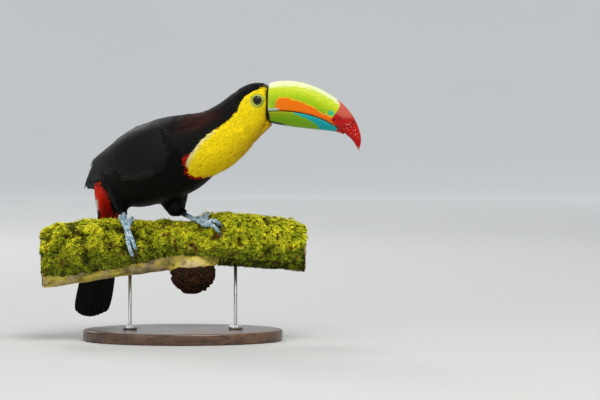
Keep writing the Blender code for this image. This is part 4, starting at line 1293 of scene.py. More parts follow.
# %% The whole bill
red_edge = calc(horn, "SUBTRACT", reach, curve(horn, level, RED_FROM))
shown = mix(horn, upper_half, lower, side)
shown = mix(horn, ramp(horn, red_edge, -0.006, 0.006), shown, tip)
to_gape = calc(horn, "ABSOLUTE", calc(horn, "SUBTRACT", even_level, curve(horn, even_reach, GAPE)))
ticks = calc(horn, "SINE", product(horn, even_reach, BILL_LENGTH / TOOTH * 2 * math.pi))
ticks = both(ramp(horn, ticks, 0.35, 0.8), ramp(horn, to_gape, 0.04, 0.012), ramp(horn, even_reach, 0.4, 0.5))
shown = mix(horn, product(horn, ticks, 0.6), shown, (0.06, 0.02, 0.008, 1))
keel_under = calc(horn, "SUBTRACT", even_level, curve(horn, even_reach, LOWER_LINE))
black = calc(horn, "MAXIMUM", ramp(horn, even_reach, 0.042, 0.035), both(
    ramp(horn, keel_under, 0.04, 0.024), ramp(horn, even_reach, 0.24, 0.16)))
black = calc(horn, "MAXIMUM", black, both(ramp(horn, even_reach, 0.056, 0.047),
                                          ramp(horn, even_level, 0.56, 0.53)))
shown = mix(horn, black, shown, (0.006, 0.006, 0.006, 1))
give(horn, taker, Colour=shown, Height=calc(horn, "ADD", streak, product(horn, mottle, 0.4)))

# %% Lay the horn


def horn_material(name, streaks):
    made, tree, shader = material(name, Specular_IOR_Level=0.14)
    seen = use(tree, horn, Streaks=streaks)
    feed(tree, shader, colour=seen["Colour"], height=seen["Height"], depth=0.12 * MM, strength=0.5,
         roughness=ramp(tree, wobble(tree, 140.0, 4.0), 0.25, 0.75, 0.3, 0.44))
    return made


for half, streaks in (("upper", 1.0), ("lower", 0.8)):
    part = "bill_" + half
    horn_finish = horn_material(half + "_horn", streaks)
    place(part + "_horn", bill_part(part, half == "upper"), horn_finish, half + "_bill", part)

# %% [markdown]
# ## The eyes
# The eye is a wet dark ball with a clear front, set in a ring of bare lime skin with fine folds. The ball
# is a round lathe shape with a slight bulge for the cornea, and the lids are a second shape that runs from
# the ball out to the skin all round, and meets it wherever the skin happens to be.

# %% Lathe helpers
EYE_SIDES, LID_SIDES = 48, 72
LID_OPENING = 5.35 * MM
# each row's share of the way out, and its height in millimetres
LID_ROWS = [(0.0, 0.12), (0.12, 0.62), (0.3, 0.75), (0.55, 0.45), (0.8, 0.25), (1.0, -0.35)]


def around_axis(centre, axis, profile, sides):
    """Points of a lathe shape: each (radius, height) of the profile turned about the axis."""
    first = unit(np.cross(axis, UP))
    second = np.cross(axis, first)
    turn = np.linspace(0, 2 * math.pi, sides, endpoint=False)
    ring = np.cos(turn)[:, None] * first + np.sin(turn)[:, None] * second
    return np.stack([centre + axis * height + ring * radius for radius, height in profile])


def ring_quads(rows, sides):
    r, s = np.meshgrid(np.arange(rows - 1), np.arange(sides), indexing="ij")
    a, b = (r * sides + s).ravel(), (r * sides + (s + 1) % sides).ravel()
    return np.stack([a, b, b + sides, a + sides], 1)


def capped_mesh(name, rings, sides):
    """The mesh of a lathe shape, with its open ends closed and its faces turned outwards."""
    mesh = quad_mesh(name, np.concatenate(rings), ring_quads(len(rings), sides))
    build = bmesh.new()
    build.from_mesh(mesh)
    bmesh.ops.holes_fill(build, edges=[e for e in build.edges if e.is_boundary], sides=sides)
    bmesh.ops.recalc_face_normals(build, faces=build.faces)
    build.to_mesh(mesh)
    build.free()
    return mesh


# %% Eye and lid materials
eye_wet, tree, shader = material("wet_eye", Roughness=0.06, IOR=1.38)
off = mark(tree, "off_axis")
spokes = wobble(tree, 1300.0, 3.0)
iris = mix(tree, spokes, (0.01, 0.011, 0.005, 1), (0.05, 0.05, 0.018, 1))
iris = mix(tree, ramp(tree, off, 0.5, 0.62), iris, (0.01, 0.011, 0.007, 1))
feed(tree, shader, colour=mix(tree, ramp(tree, off, 0.33, 0.36), (0.002, 0.002, 0.002, 1), iris))
lid_skin, tree, shader = material("lid_skin", Roughness=0.42, Specular_IOR_Level=0.45)
outward = mark(tree, "outward")
green = mix(tree, ramp(tree, outward, 0.0, 0.25), (0.04, 0.05, 0.006, 1), (0.42, 0.47, 0.05, 1))
green = mix(tree, ramp(tree, outward, 0.3, 0.55), green, (0.24, 0.29, 0.01, 1))
green = mix(tree, ramp(tree, outward, 0.55, 0.95), green, (0.55, 0.55, 0.012, 1))
green = mix(tree, product(tree, wobble(tree, 800.0, 3.0), 0.4), green, (0.3, 0.36, 0.01, 1))
feed(tree, shader, colour=green, height=wobble(tree, 1400.0, 3.0), depth=0.15 * MM)

# %% Eyes and lids
for side, (eye, other) in {"right": EYES, "left": EYES[::-1]}.items():
    axis = unit(eye - other)
    angles = np.linspace(0.02, 2.2, 22)
    bulge = 0.35 * MM * np.clip(1 - angles / 0.8, 0, 1) ** 0.7
    profile = np.stack([np.sin(angles), np.cos(angles)], 1) * (EYE_RADIUS + bulge)[:, None]
    rings = around_axis(eye, axis, profile, EYE_SIDES)
    mesh = capped_mesh("eye_ball_" + side, rings, EYE_SIDES)
    add_number(mesh, "off_axis", np.repeat(angles, EYE_SIDES) / 1.5)
    place("eye_ball_" + side, mesh, eye_wet, "eye", "eye_" + side)

    reach_out = BARE - LID_OPENING
    start_height = math.sqrt(EYE_RADIUS**2 - LID_OPENING**2)
    outer = around_axis(eye, axis, [(BARE, 0)], LID_SIDES)[0]
    skin_height = []
    for point in outer:
        hit = skin_tree.ray_cast(Vector(point + axis * 20 * MM), Vector(-axis), 40 * MM)[0]
        skin_height.append(((np.array(hit) if hit else point) - eye) @ axis)
    skin_height = np.array(skin_height)
    rows = []
    for share, lift in LID_ROWS:
        radius = LID_OPENING + reach_out * share
        base = around_axis(eye, axis, [(radius, 0)], LID_SIDES)[0]
        blend_in = share**0.8
        fold = 0.10 * MM * np.sin(np.arange(LID_SIDES) * 2 * math.pi / LID_SIDES * 24) * (0.3 < share < 0.9)
        height = start_height * (1 - blend_in) + skin_height * blend_in + lift * MM + fold
        rows.append(base + axis * height[:, None])
    mesh = quad_mesh("lids_" + side, np.concatenate(rows), ring_quads(len(rows), LID_SIDES)[:, ::-1])
    add_number(mesh, "outward", np.repeat([row[0] for row in LID_ROWS], LID_SIDES))
    place("lids_" + side, applied(mesh, ROUNDED), lid_skin, "bib_plumage")

# %% [markdown]
# ## Legs and feet
# A toucan's legs are dry and scaly: broad scales go round the front of the shank and over each toe like
# tiles, and each ends in a raised pale edge. Every corner of the leg knows how many scales it is from the
# claw or the ankle, so one saw-tooth of that number makes both the steps in the shape and the pale edges in
# the colour.

# %% Scaly skin's material
TOES = {side: [f"claw_{side}_{i}" for i in (1, 2, 3, 4)] for side in ("right", "left")}
SHANK_SCALE, TOE_SCALE = 3.4 * MM, 2.5 * MM

leg_skin, tree, shader = material("leg_skin", Roughness=0.5, Specular_IOR_Level=0.4)
scute = mark(tree, "scute")
place_in = own_place(tree)
phase = calc(tree, "FRACT", scute)
pale_edge = calc(tree, "MAXIMUM", ramp(tree, phase, 0.72, 0.95), ramp(tree, phase, 0.14, 0.0))
pebbles = add(tree, "TexVoronoi", {"Vector": place_in, "Scale": 780.0}, feature="DISTANCE_TO_EDGE")
pebbles = pebbles.outputs["Distance"]
# Painted highlight: small white glints scattered over the blue skin.
glints = add(tree, "TexVoronoi", {"Vector": place_in, "Scale": 620.0}).outputs["Color"]
glints = add(tree, "SeparateXYZ", {0: glints}).outputs[0]
blue = mix(tree, wobble(tree, 300.0, 3.0), (0.03, 0.17, 0.27, 1), (0.17, 0.45, 0.58, 1))
blue = mix(tree, ramp(tree, glints, 0.42, 0.6), blue, (0.78, 0.9, 0.93, 1))
blue = mix(tree, product(tree, pale_edge, 0.8), blue, (0.85, 0.92, 0.93, 1))
# Painted shade: darker blue in the creases between the small scales.
blue = mix(tree, ramp(tree, pebbles, 0.13, 0.02), blue, (0.015, 0.07, 0.13, 1))
blue = mix(tree, ramp(tree, mark(tree, "ankle"), 0.013, 0.004), blue, (0.72, 0.78, 0.76, 1))
# Navy mottle in a few patches on both legs, and painted shade that spreads it over the left shank, most of
# all at its top under the body.
mottle_and_shade = ramp(tree, calc(tree, "ADD", wobble(tree, 210.0, 3.0), product(tree, mark(tree, "left_leg_shade"), 0.34)),
              0.68, 0.76)
blue = mix(tree, mottle_and_shade, blue, (0.01, 0.014, 0.035, 1))
height = calc(tree, "ADD", ramp(tree, pebbles, 0.0, 0.2), phase)
feed(tree, shader, colour=blue, height=height, depth=0.12 * MM)

# %% Scaly legs


def gap(points, others):
    """How far each point is from the nearest of the others."""
    return np.linalg.norm(points[:, None] - others[None], axis=2).min(1)


def meeting(first, second):
    """The middle of the corners of one solid that are nearest to another."""
    corners = solid_points(first)
    away = gap(corners, solid_points(second))
    return corners[away < away.min() + 0.6 * MM].mean(0)


for side, claws in TOES.items():
    mesh = one_skin(["tarsus_" + side, "foot_" + side], 0.5 * MM, 3, swell=0.18 * MM)
    points, normals = mesh_points(mesh), mesh_normals(mesh)
    tips = np.array([meeting(claw, "foot_" + side) for claw in claws])
    shank = solid_points("tarsus_" + side)
    ankle = shank[shank[:, 2] > shank[:, 2].max() - 3 * MM].mean(0)
    to_ankle = np.linalg.norm(points - ankle, axis=1)
    on_shank = gap(points, shank) < gap(points, solid_points("foot_" + side))
    scutes = np.where(on_shank, to_ankle / SHANK_SCALE, gap(points, tips) / TOE_SCALE)
    step = scutes % 1.0
    tile = (1 - step) ** 0.6 * np.clip(step / 0.12, 0, 1)
    lumps = np.array([noise.noise(Vector(p) * 900) for p in points])
    points = points + normals * ((tile * 0.32 + lumps * 0.12 - 0.1) * MM)[:, None]
    move_to(mesh, points)
    add_number(mesh, "scute", scutes)
    add_number(mesh, "ankle", to_ankle if side == "right" else np.full(len(points), 1.0))
    # painted shade on the left shank, strongest at its top, under the body
    add_number(mesh, "left_leg_shade", np.clip(1.2 - to_ankle / (27 * MM), 0, 1) * (side == "left"))
    place("leg_" + side, mesh, leg_skin, "leg_skin", "tarsus_" + side, "foot_" + side)

# %% [markdown]
# ## Claws
# The claws are dark horn, smooth and a little worn at the point. Their solids have the right curve already,
# so they are only rounded by subdivision and joined, four to a foot.

# %% Claws
claw_horn, tree, shader = material("claw_horn", Roughness=0.3, Coat_Weight=0.2, Coat_Roughness=0.2)
grime = wobble(tree, 500.0, 4.0)
feed(tree, shader, colour=mix(tree, grime, (0.012, 0.011, 0.011, 1), (0.06, 0.055, 0.05, 1)), height=grime,
     depth=0.1 * MM, roughness=ramp(tree, grime, 0.3, 0.7, 0.22, 0.5))
for side, claws in TOES.items():
    mesh = joined([smooth_copy(claw) for claw in claws])
    for face_of in mesh.polygons:
        face_of.use_smooth = True
        face_of.material_index = 0
    place("claws_" + side, mesh, claw_horn, "claw", *claws)

# %% [markdown]
# ## The branch
# Below the moss the bark is tan and weathered, with low ridges along the branch, and the stump of an old
# side branch is dark and rough. The cut ends show pale wood with rings. The solid is remeshed, and its
# corners are then moved by noise that is stretched along the branch. Bump alone would leave the outline too
# clean.

# %% Bark
BRANCH_ENDS = (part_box("perch_branch")[0].x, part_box("perch_branch")[1].x)
bark_mesh = one_skin(["perch_branch"], 1.25 * MM, 2, swell=0.1 * MM, levels=2)
bark_points = mesh_points(bark_mesh)


def branch_middle(x):
    """Depth, height and radius of the branch's middle at places along it, from slices of the bark."""
    stations = np.linspace(BRANCH_ENDS[0] + 4 * MM, BRANCH_ENDS[1] - 4 * MM, 30)
    tops, fronts, backs = [], [], []
    for station in stations:
        slab = bark_points[abs(bark_points[:, 0] - station) < 3 * MM]
        tops.append(slab[:, 2].max())
        fronts.append(slab[:, 1].min())
        backs.append(slab[:, 1].max())
    tops, fronts, backs = np.array(tops), np.array(fronts), np.array(backs)
    half = (backs - fronts) / 2
    return [np.interp(x, stations, values) for values in ((backs + fronts) / 2, tops - half, half)]


middle_y, middle_z, branch_radius = branch_middle(bark_points[:, 0])
round_it = np.arctan2(bark_points[:, 1] - middle_y, bark_points[:, 2] - middle_z)
from_middle = np.hypot(bark_points[:, 1] - middle_y, bark_points[:, 2] - middle_z)
knot = np.clip((from_middle - branch_radius * 1.06) / (5 * MM), 0, 1)
knot = neighbours_mean(bark_mesh, knot, 4)
collar = neighbours_mean(bark_mesh, knot, 14)
collar = np.clip(6 * collar * (1 - collar), 0, 1)
for _ in range(70):
    even = np.stack([neighbours_mean(bark_mesh, bark_points[:, axis], 1) for axis in range(3)], 1)
    bark_points = bark_points + (even - bark_points) * collar[:, None]
move_to(bark_mesh, bark_points)
bark_mesh.update()
bark_normals = mesh_normals(bark_mesh)
cut = (np.abs(bark_normals[:, 0]) > 0.75) & ((bark_points[:, 0] < BRANCH_ENDS[0] + 3 * MM) | (
    bark_points[:, 0] > BRANCH_ENDS[1] - 3 * MM))
cut = cut.astype(float)
ridges = np.array([noise.fractal(Vector((p[0] * 28, math.cos(t) * 5, math.sin(t) * 5)), 1.0, 2.2, 4)
                   for p, t in zip(bark_points, round_it)])
lumps = np.array([noise.fractal(Vector(p) * 190, 0.8, 2.0, 3) for p in bark_points])
sag = np.array([noise.noise(Vector(p) * 45) for p in bark_points])
move = (1 - cut) * ((1 - knot) * (ridges * 0.75 + sag * 0.9) + knot * (lumps * 4.5 + sag * 3.5) - 0.4)
bark_points = bark_points + bark_normals * (np.clip(move, -4, 2) * MM)[:, None]
bark_points += bark_normals * (cut * (lumps * 0.15) * MM)[:, None]
move_to(bark_mesh, bark_points)
for label, values in (("knot", knot), ("cut", cut), ("from_middle", from_middle)):
    add_number(bark_mesh, label, values)
print("bark:", int(cut.sum()), "corners on the cut ends")

# %% [markdown]
# ## Shared wear and grain
# Bark, cut wood and the lacquered base all have streaks that run one way, and everything outdoors has
# patches of grime. Both effects are groups, so each material sets how long the streaks are and how dirty it
# is.

# %% Grain and grime groups
grain, given, taker = new_group(
    "wood_grain",
    [("Vector", "vector", (0, 0, 0)), ("Scale", "number", 40.0), ("Stretch", "number", 8.0),
     ("Knots", "number", 0.5)],
    [("Streaks", "number"), ("Pores", "number")])
parts = add(grain, "SeparateXYZ", {0: given["Vector"]}).outputs
long_place = add(grain, "CombineXYZ", {0: calc(grain, "DIVIDE", parts[0], given["Stretch"]), 1: parts[1],
                                       2: parts[2]}).outputs[0]
streaks = wobble(grain, given["Scale"], 6.0, 0.62, long_place, given["Knots"])
pores = wobble(grain, product(grain, given["Scale"], 9.0), vector=long_place)
give(grain, taker, Streaks=streaks, Pores=ramp(grain, pores, 0.5, 0.68))

RING_GAP = 2.1 * MM  # from one year's ring to the next
grime_group, given, taker = new_group(
    "grime",
    [("Colour", "colour", (0.5, 0.5, 0.5, 1)), ("Dirt", "colour", (0.05, 0.04, 0.02, 1)),
     ("Scale", "number", 60.0), ("Amount", "number", 0.5)],
    [("Colour", "colour")])
dirt = wobble(grime_group, given["Scale"], 5.0, 0.65)
mask = product(grime_group, ramp(grime_group, dirt, 0.42, 0.66), given["Amount"])
give(grime_group, taker, Colour=mix(grime_group, mask, given["Colour"], given["Dirt"]))

# %% Lay the bark
bark_finish, tree, shader = material("weathered_bark", Roughness=0.85, Specular_IOR_Level=0.12)
place_in = own_place(tree)
wood = use(tree, grain, Vector=place_in, Scale=150.0, Stretch=7.0)
tan = mix(tree, wood["Streaks"], (0.46, 0.36, 0.045, 1), (0.95, 0.76, 0.15, 1))
tan = mix(tree, ramp(tree, wobble(tree, 35.0, 4.0), 0.5, 0.62), tan, (0.55, 0.42, 0.2, 1))
tan = use(tree, grime_group, Colour=tan, Dirt=(0.05, 0.045, 0.012, 1), Scale=75.0, Amount=0.75)["Colour"]
crumbs = ramp(tree, wobble(tree, 420.0, 4.0), 0.3, 0.7)
rough_knot = mix(tree, crumbs, (0.004, 0.002, 0.0008, 1), (0.05, 0.017, 0.006, 1))
rough_knot = mix(tree, ramp(tree, wobble(tree, 110.0, 3.0), 0.55, 0.68), rough_knot, (0.012, 0.014, 0.002, 1))
frayed = calc(tree, "MULTIPLY_ADD", wobble(tree, 120.0, 3.0), 0.5, -0.25)
tan = mix(tree, ramp(tree, calc(tree, "ADD", mark(tree, "knot"), frayed), 0.2, 0.45), tan, rough_knot)
out_from_pith = mark(tree, "from_middle")
rings = calc(tree, "MULTIPLY_ADD", wobble(tree, 60.0, 2.0), 4 * MM, out_from_pith)
rings = calc(tree, "SINE", product(tree, rings, 2 * math.pi / RING_GAP))
fresh = mix(tree, calc(tree, "MULTIPLY_ADD", rings, 0.5, 0.5), (0.42, 0.29, 0.15, 1), (0.26, 0.16, 0.07, 1))
fresh = mix(tree, ramp(tree, out_from_pith, 22.5 * MM, 24.5 * MM), fresh, (0.1, 0.06, 0.03, 1))
height = calc(tree, "MULTIPLY_ADD", wobble(tree, 700.0, 4.0), 0.6, wood["Streaks"])
tan = mix(tree, mark(tree, "cut"), tan, fresh)
feed(tree, shader, colour=tan, height=height, depth=0.8 * MM, strength=0.8)
place("bark", bark_mesh, bark_finish, "bark", "perch_branch")

# %% [markdown]
# ## Moss
# Moss is a deep mat of tiny leafy stems that grow in cushions, bright where they reach the light and dark
# between. A lumpy mat lies under the outline of the solid, and on it stand thousands of little sprigs, each
# of five pointed leaves that spread from one root. Sprigs are longest on top of a cushion.

# %% Moss mat
mat = one_skin(["perch_moss"], 1.7 * MM, 4, swell=0.1 * MM, levels=2)
mat_points, mat_normals = mesh_points(mat), mesh_normals(mat)
feet_cloud = np.concatenate([solid_points(n) for side in ("right", "left")
                             for n in ("foot_" + side, *TOES[side])])
# the moss has closed over the hind toes, behind the top of the branch
buried = feet_cloud[:, 1] > -5 * MM
buried_cloud, feet_cloud = feet_cloud[buried], feet_cloud[~buried]
print("buried toe:", len(buried_cloud), "corners")


def cushions(points):
    """How high the moss's cushions stand, from about 0 to 1."""
    big = np.array([noise.noise(Vector(p) * 62 + Vector((3, 5, 7))) for p in points])
    small = np.array([noise.noise(Vector(p) * 150) for p in points])
    return np.clip(0.5 + big * 0.75 + small * 0.4, 0, 1)


moss_span = mat_points[:, 0].min(), mat_points[:, 0].max()


def from_moss_end(points):
    return np.minimum(points[:, 0] - moss_span[0], moss_span[1] - points[:, 0])


mat_high = cushions(mat_points)
at_end = np.clip(from_moss_end(mat_points) / (4 * MM), 0, 1)
sink = (3.4 - 2.6 * mat_high) * (0.35 + 0.65 * at_end)
sink = np.minimum(sink * MM, 0.35 * thickness(mat))
mat_points = mat_points - mat_normals * sink[:, None]
move_to(mat, mat_points)
add_number(mat, "high", mat_high)

# %% Moss colours
moss_leaf, tree, shader = material("moss_leaf", Roughness=0.6, Specular_IOR_Level=0.15)
high, tone, star, side = (mark(tree, label) for label in ("high", "tone", "star", "side"))
leaf_along = place_in_vane(tree)[1]
patches = wobble(tree, 70.0, 3.0)
deep = mix(tree, tone, (0.02, 0.022, 0.003, 1), (0.1, 0.115, 0.01, 1))
leafy = mix(tree, tone, (0.16, 0.21, 0.008, 1), (0.36, 0.42, 0.015, 1))
bright = mix(tree, ramp(tree, patches, 0.35, 0.62), (0.5, 0.56, 0.012, 1), (0.95, 0.9, 0.03, 1))
# Painted light and shade: sprigs on top of the branch are painted bright, those on its underside dark, and
# those towards +X a little brighter still.
sunlit = calc(tree, "ADD", side, calc(tree, "MULTIPLY_ADD", patches, 1.6, -0.8))
sunlit = calc(tree, "ADD", sunlit, calc(tree, "MULTIPLY_ADD", tone, 0.5, -0.25))
tip = mix(tree, ramp(tree, sunlit, -0.75, -0.1), deep, leafy)
tip = mix(tree, ramp(tree, sunlit, 0.1, 0.75), tip, bright)
withered = product(tree, ramp(tree, wobble(tree, 95.0, 2.0), 0.56, 0.66), ramp(tree, tone, 0.35, 0.5))
tip = mix(tree, withered, tip, (0.2, 0.075, 0.012, 1))
low = mix(tree, star, product(tree, ramp(tree, high, 0.25, 1.0), 0.4),
          product(tree, ramp(tree, leaf_along, 0.0, 0.7), ramp(tree, high, -0.2, 0.45)))
feed(tree, shader, colour=mix(tree, low, (0.012, 0.012, 0.002, 1), tip))
moss_mat, tree, shader = material("moss_mat", Roughness=0.9, Specular_IOR_Level=0.1)
under = mix(tree, ramp(tree, mark(tree, "high"), 0.1, 0.9), (0.012, 0.012, 0.002, 1), (0.11, 0.11, 0.01, 1))
under = mix(tree, ramp(tree, wobble(tree, 260.0, 4.0), 0.5, 0.7), under, (0.05, 0.025, 0.008, 1))
feed(tree, shader, colour=under, height=wobble(tree, 900.0, 4.0), depth=0.8 * MM)
place("moss_mat", mat, moss_mat, "moss", "perch_moss")

# %% Where sprigs can grow
mat_quads = quads_of(mat)
bark_mesh.update()
skin_points = np.concatenate([mat_points, bark_points])
skin_normals = np.concatenate([mesh_normals(mat), mesh_normals(bark_mesh)])
quads = np.concatenate([mat_quads, quads_of(bark_mesh) + len(mat_points)])
quad_area, quad_normal, quad_middle = quad_facts(skin_points, skin_normals, quads)
deep_y, deep_z, _ = branch_middle(quad_middle[:, 0])
from_wood = unit(np.stack([0 * deep_y, quad_middle[:, 1] - deep_y, quad_middle[:, 2] - deep_z], 1))
on_bark = np.arange(len(quads)) >= len(mat_quads)
mat_tree = surface_tree(mat_points, mat_quads)
creeping = quad_middle[:, 0] + 30 * MM * draw.random(len(quads)) ** 2 > 68 * MM
creeping &= from_wood[:, 2] < -0.1
fringe = np.array([mat_tree.find_nearest(Vector(p))[3] < 2.4 * MM if bark else True
                   for p, bark in zip(quad_middle, on_bark)])
outer = np.arange(len(quads))[((from_wood * quad_normal).sum(1) > -0.2) & (
    ~on_bark | ((creeping | fringe) & (np.abs(quad_normal[:, 0]) < 0.5)))]
feet_tree, buried_tree = corner_tree(feet_cloud), corner_tree(buried_cloud)
print("room for moss:", round(float(quad_area[outer].sum()) * 1e4), "square cm")

# %% One kind of sprig
LEAF_ROWS = [(0, 0.25), (0.45, 1.0), (1.0, 0.08)]
SPRIGS = [  # name, spacing, leaves, shortest, longest, half width, how far open, how high they stand, pieces
    ("moss_ground", 1.4, 5, 1.8, 3.0, 0.5, 1.0, 0.0, 3),
    ("moss_stars", 2.3, 8, 2.4, 3.8, 0.55, 1.7, 2.6, 2),
]


def sprigs(spacing, leaves, shortest, longest, half_width, opening, stand):
    """Roots, and a strip of corners for every leaf that spreads from them."""
    picked, roots = spread(outer, spacing * MM)
    high = cushions(roots) * np.where(on_bark[picked], 0.4, 1)
    room = np.array([feet_tree.find(point)[2] for point in roots])
    size = np.clip(high + draw.uniform(-0.25, 0.25, len(roots)), 0, 1)
    size = (shortest + (longest - shortest) * size) * MM
    free = np.clip((room - 1.5 * MM) / (6 * MM), 0.3, 1)
    size *= free
    upright = quad_normal[picked] + UP * 0.35
    upright[:, 0] *= np.clip(from_moss_end(roots) / (5 * MM), 0.3, 1)
    upright = unit(unit(upright) + draw.normal(0, 0.22, upright.shape))
    over = np.clip(1.3 - np.array([buried_tree.find(point)[2] for point in roots]) / (7 * MM), 0, 1)
    tall = (1 + 1.1 * np.clip((roots[:, 0] - 52 * MM) / (14 * MM), 0, 1)) * high + 1.6 * over
    stems = roots + upright * (stand * MM * draw.random(len(roots)) * free * tall)[:, None]
    first = unit(np.cross(upright, draw.normal(0, 1, upright.shape)))
    second = np.cross(upright, first)
    blades = []
    for leaf in range(leaves):
        turn = 2 * math.pi * leaf / leaves + draw.uniform(-0.4, 0.4, len(roots))
        flat = first * np.cos(turn)[:, None] + second * np.sin(turn)[:, None]
        open_out = draw.uniform(0.45, 1.0, (len(roots), 1)) * opening * (0.15 if leaf == 0 else 1)
        way = unit(upright + flat * open_out)
        across = unit(np.cross(way, upright + flat * 0.01))
        long = size * draw.uniform(0.75, 1.1, len(roots))
        rows = []
        for share, wide in LEAF_ROWS:
            middle = stems + (way * share + flat * 0.22 * share**2) * long[:, None]
            half = across * (half_width * MM * wide)
            rows.append(np.stack([middle - half, middle + half], 1))
        blades.append(np.stack(rows, 1))
    return roots, high, np.stack(blades, 1)


# %% Lay the sprigs
for name, *shape, pieces in SPRIGS:
    roots, high, blades = sprigs(*shape)
    leaves = shape[1]
    deep_y, deep_z, _ = branch_middle(roots[:, 0])
    moss_round = np.arctan2(roots[:, 1] - deep_y, roots[:, 2] - deep_z) / math.pi
    part_of = (roots[:, 0] - moss_span[0]) / (moss_span[1] - moss_span[0]) * pieces
    part_of = np.clip(part_of, 0, pieces - 1).astype(int)
    for piece in range(pieces):
        mine = part_of == piece
        # painted light: the side mark is 1 on top of the branch and -1 under it, and a little higher towards
        # +X
        sunny = 0.3 * np.clip(roots[mine, 0] / (60 * MM), 0, 1)
        marks = {"high": high[mine], "side": np.cos(moss_round[mine] * math.pi) + sunny,
                 "tone": draw.random(mine.sum()), "star": np.full(mine.sum(), float(name == "moss_stars"))}
        marks = {label: np.repeat(values, leaves) for label, values in marks.items()}
        at = np.repeat(np.stack([roots[mine, 0], moss_round[mine]], 1), leaves, axis=0)
        mesh = vane_mesh(f"{name}_{piece + 1}", blades[mine].reshape(-1, len(LEAF_ROWS), 2, 3), marks, at)
        place(f"{name}_{piece + 1}", mesh, moss_leaf, "moss")

# %% [markdown]
# ## The stand
# A plain museum stand: an oval of dark lacquered walnut, and two brushed steel rods with small collars that
# go up into the branch. They are lathe and loft shapes with softly broken edges, because a perfectly sharp
# edge never catches the light and looks false.

# %% The base's shape


def oval(half_x, half_y, height, sides, middle=(0, 0)):
    """A level ring of corners."""
    turn = np.linspace(0, 2 * math.pi, sides, endpoint=False)
    x, y = middle[0] + half_x * np.cos(turn), middle[1] + half_y * np.sin(turn)
    return np.stack([x, y, np.full(sides, height)], 1)


base_low, base_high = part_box("stand_base")
BASE_EDGE = 2.5 * MM
BASE_SIDES = 160
half_x, half_y = (base_high.x - base_low.x) / 2, (base_high.y - base_low.y) / 2
profile = []
for low_side in (True, False):
    for step in range(7):
        turn = math.pi / 2 * step / 6
        out, up = (math.sin(turn), 1 - math.cos(turn)) if low_side else (math.cos(turn), -1 + math.sin(turn))
        level_z = (base_low.z + up * BASE_EDGE) if low_side else (base_high.z + up * BASE_EDGE)
        profile.append((-BASE_EDGE + out * BASE_EDGE, level_z))
rows = [oval(half_x + inset, half_y + inset, height, BASE_SIDES) for inset, height in profile]
rows += [rows[-1] * (shrink, shrink, 1) for shrink in (0.9, 0.5, 0.12)]
rows.insert(0, rows[0] * (0.5, 0.5, 1))
base_mesh = capped_mesh("base", rows, BASE_SIDES)

# %% Lacquered walnut
walnut, tree, shader = material("lacquered_walnut", Roughness=0.3, Coat_Weight=0.35, Coat_Roughness=0.12)
wood = use(tree, grain, Vector=own_place(tree), Scale=60.0, Stretch=11.0, Knots=1.2)
brown = mix(tree, ramp(tree, wood["Streaks"], 0.3, 0.7), (0.035, 0.015, 0.007, 1), (0.15, 0.07, 0.03, 1))
brown = mix(tree, product(tree, wood["Pores"], 0.6), brown, (0.015, 0.008, 0.004, 1))
feed(tree, shader, colour=brown, height=wood["Pores"], depth=0.08 * MM, strength=0.3,
     roughness=ramp(tree, wobble(tree, 25.0, 4.0), 0.3, 0.7, 0.24, 0.38))
place("walnut_base", base_mesh, walnut, "stand_wood", "stand_base")

# %% Steel rods
steel, tree, shader = material("brushed_steel", Metallic=1.0, Roughness=0.3)
brush = add(tree, "Mapping", {"Vector": own_place(tree), "Scale": (30, 30, 900)}).outputs[0]
brush = wobble(tree, 4.0, 4.0, vector=brush)
feed(tree, shader, colour=mix(tree, brush, (0.42, 0.42, 0.43, 1), (0.62, 0.62, 0.63, 1)), height=brush,
     depth=0.03 * MM, roughness=ramp(tree, brush, 0.3, 0.7, 0.24, 0.4))
ROD_SIDES = 40
for side in ("left", "right"):
    node = "stand_rod_" + side
    low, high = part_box(node)
    collar = (high.x - low.x) / 2
    cloud = solid_points(node)
    rod = np.ptp(cloud[cloud[:, 2] > high.z - 1 * MM, 0]) / 2
    wide = cloud[np.abs(cloud[:, 0] - (low.x + high.x) / 2) > (rod + collar) / 2, 2]
    start, stop, soft = wide.min(), wide.max(), 0.5 * MM
    profile = [(rod, low.z), (rod, start), (collar - soft, start), (collar, start + soft),
               (collar, stop - soft), (collar - soft, stop), (rod + 2 * soft, stop),
               (rod + 0.4 * soft, stop + 0.5 * soft), (rod, stop + 2 * soft), (rod, high.z)]
    rows = [oval(r, r, z, ROD_SIDES, ((low.x + high.x) / 2, (low.y + high.y) / 2)) for r, z in profile]
    mesh = capped_mesh(node, rows, ROD_SIDES)
    place("steel_rod_" + side, mesh, steel, "stand_steel", node)

# %% [markdown]
# ## Room, light and camera
# A museum's studio: a pale floor that turns up into the wall all round, with no corner to catch the eye,
# two large soft lamps and a weak one behind. The camera stands low, a little over the bird, and far back,
# so that the long lens keeps the proportions.

# %% Studio
ROOM_SIDES = 96
ROOM_PROFILE = [(3.4 + 4.6 * share, 3.2 * share**2.3) for share in np.linspace(0, 1, 24)]
room_points = np.concatenate([oval(radius, radius, height, ROOM_SIDES) for radius, height in ROOM_PROFILE])
build = bmesh.new()
ring = [build.verts.new(point) for point in room_points]
build.faces.new(ring[:ROOM_SIDES])
for quad in ring_quads(len(ROOM_PROFILE), ROOM_SIDES):
    build.faces.new([ring[i] for i in quad]).smooth = True
floor_mesh = bpy.data.meshes.new("floor")
build.to_mesh(floor_mesh)
build.free()
floor_paint, tree, shader = material("floor_paint", Roughness=0.9, Specular_IOR_Level=0.0)
from_middle = add(tree, "VectorMath", {0: own_place(tree)}, operation="LENGTH").outputs[1]
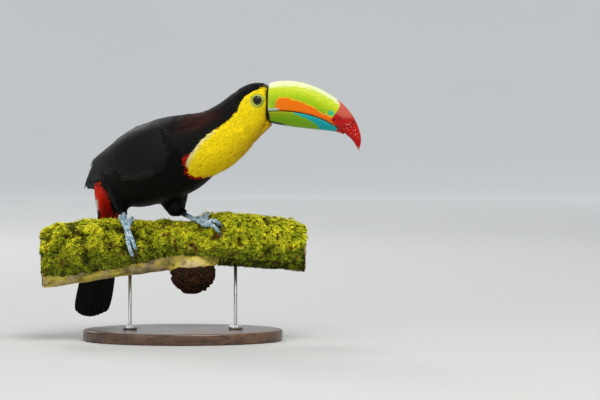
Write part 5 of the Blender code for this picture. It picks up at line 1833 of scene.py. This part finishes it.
# Painted shade and light: the floor is painted darker near the middle, where the lamps fall brightest, and
# lighter far out and up the wall, so that the room looks evenly lit.
paint = mix(tree, ramp(tree, from_middle, 0.3, 2.3), (0.52, 0.52, 0.505, 1), (0.6, 0.6, 0.588, 1))
paint = mix(tree, calc(tree, "POWER", ramp(tree, from_middle, 1.9, 3.7), 1.4), paint, (0.88, 0.88, 0.87, 1))
feed(tree, shader, colour=mix(tree, product(tree, wobble(tree, 3.0), 0.1), paint, (0.5, 0.5, 0.48, 1)))
floor_mesh.materials.append(floor_paint)
floor = bpy.data.objects.new("floor", floor_mesh)
bpy.context.scene.collection.objects.link(floor)

# %% Lamps


def soft_lamp(name, place, aim, size, power, warmth=(1, 1, 1)):
    lamp = bpy.data.lights.new(name, "AREA")
    lamp.shape, lamp.size, lamp.energy, lamp.color = "DISK", size, power, warmth
    made = bpy.data.objects.new(name, lamp)
    made.location = place
    made.rotation_euler = (Vector(aim) - Vector(place)).to_track_quat("-Z", "Y").to_euler()
    bpy.context.scene.collection.objects.link(made)


middle = (Vector(cad_box[0]) + Vector(cad_box[1])) / 2
soft_lamp("lamp_above", (0.5, -1.1, 2.4), middle, 1.6, 50, (1, 0.98, 0.95))
soft_lamp("lamp_front", (-1.6, -2.2, 1.1), middle, 1.4, 14, (0.97, 0.98, 1))
soft_lamp("lamp_behind", (-0.9, 2.0, 1.9), middle, 1.2, 26, (1, 1, 1))
world = bpy.data.worlds.new("studio")
world.use_nodes = True
world.node_tree.nodes["Background"].inputs[0].default_value = (0.8, 0.84, 0.88, 1)
world.node_tree.nodes["Background"].inputs[1].default_value = 0.7
bpy.context.scene.world = world
bpy.context.scene.view_settings.view_transform = "Standard"

# %% Camera
AIM = Vector((0.14675, 0.0, 0.176))
CAMERA_HEIGHT = math.radians(3)  # above the horizon
CAMERA_DISTANCE = 4.0
lens = bpy.data.cameras.new("camera")
lens.lens, lens.sensor_width = 192.0, 36.0
lens.clip_start, lens.clip_end = 0.1, 40.0
camera = bpy.data.objects.new("camera", lens)
camera.location = AIM + Vector((0, -math.cos(CAMERA_HEIGHT), math.sin(CAMERA_HEIGHT))) * CAMERA_DISTANCE
camera.rotation_euler = (AIM - camera.location).to_track_quat("-Z", "Y").to_euler()
bpy.context.scene.collection.objects.link(camera)
bpy.context.scene.camera = camera
print("camera at", [round(x, 3) for x in camera.location])

# %% Update the scene
bpy.context.view_layer.update()
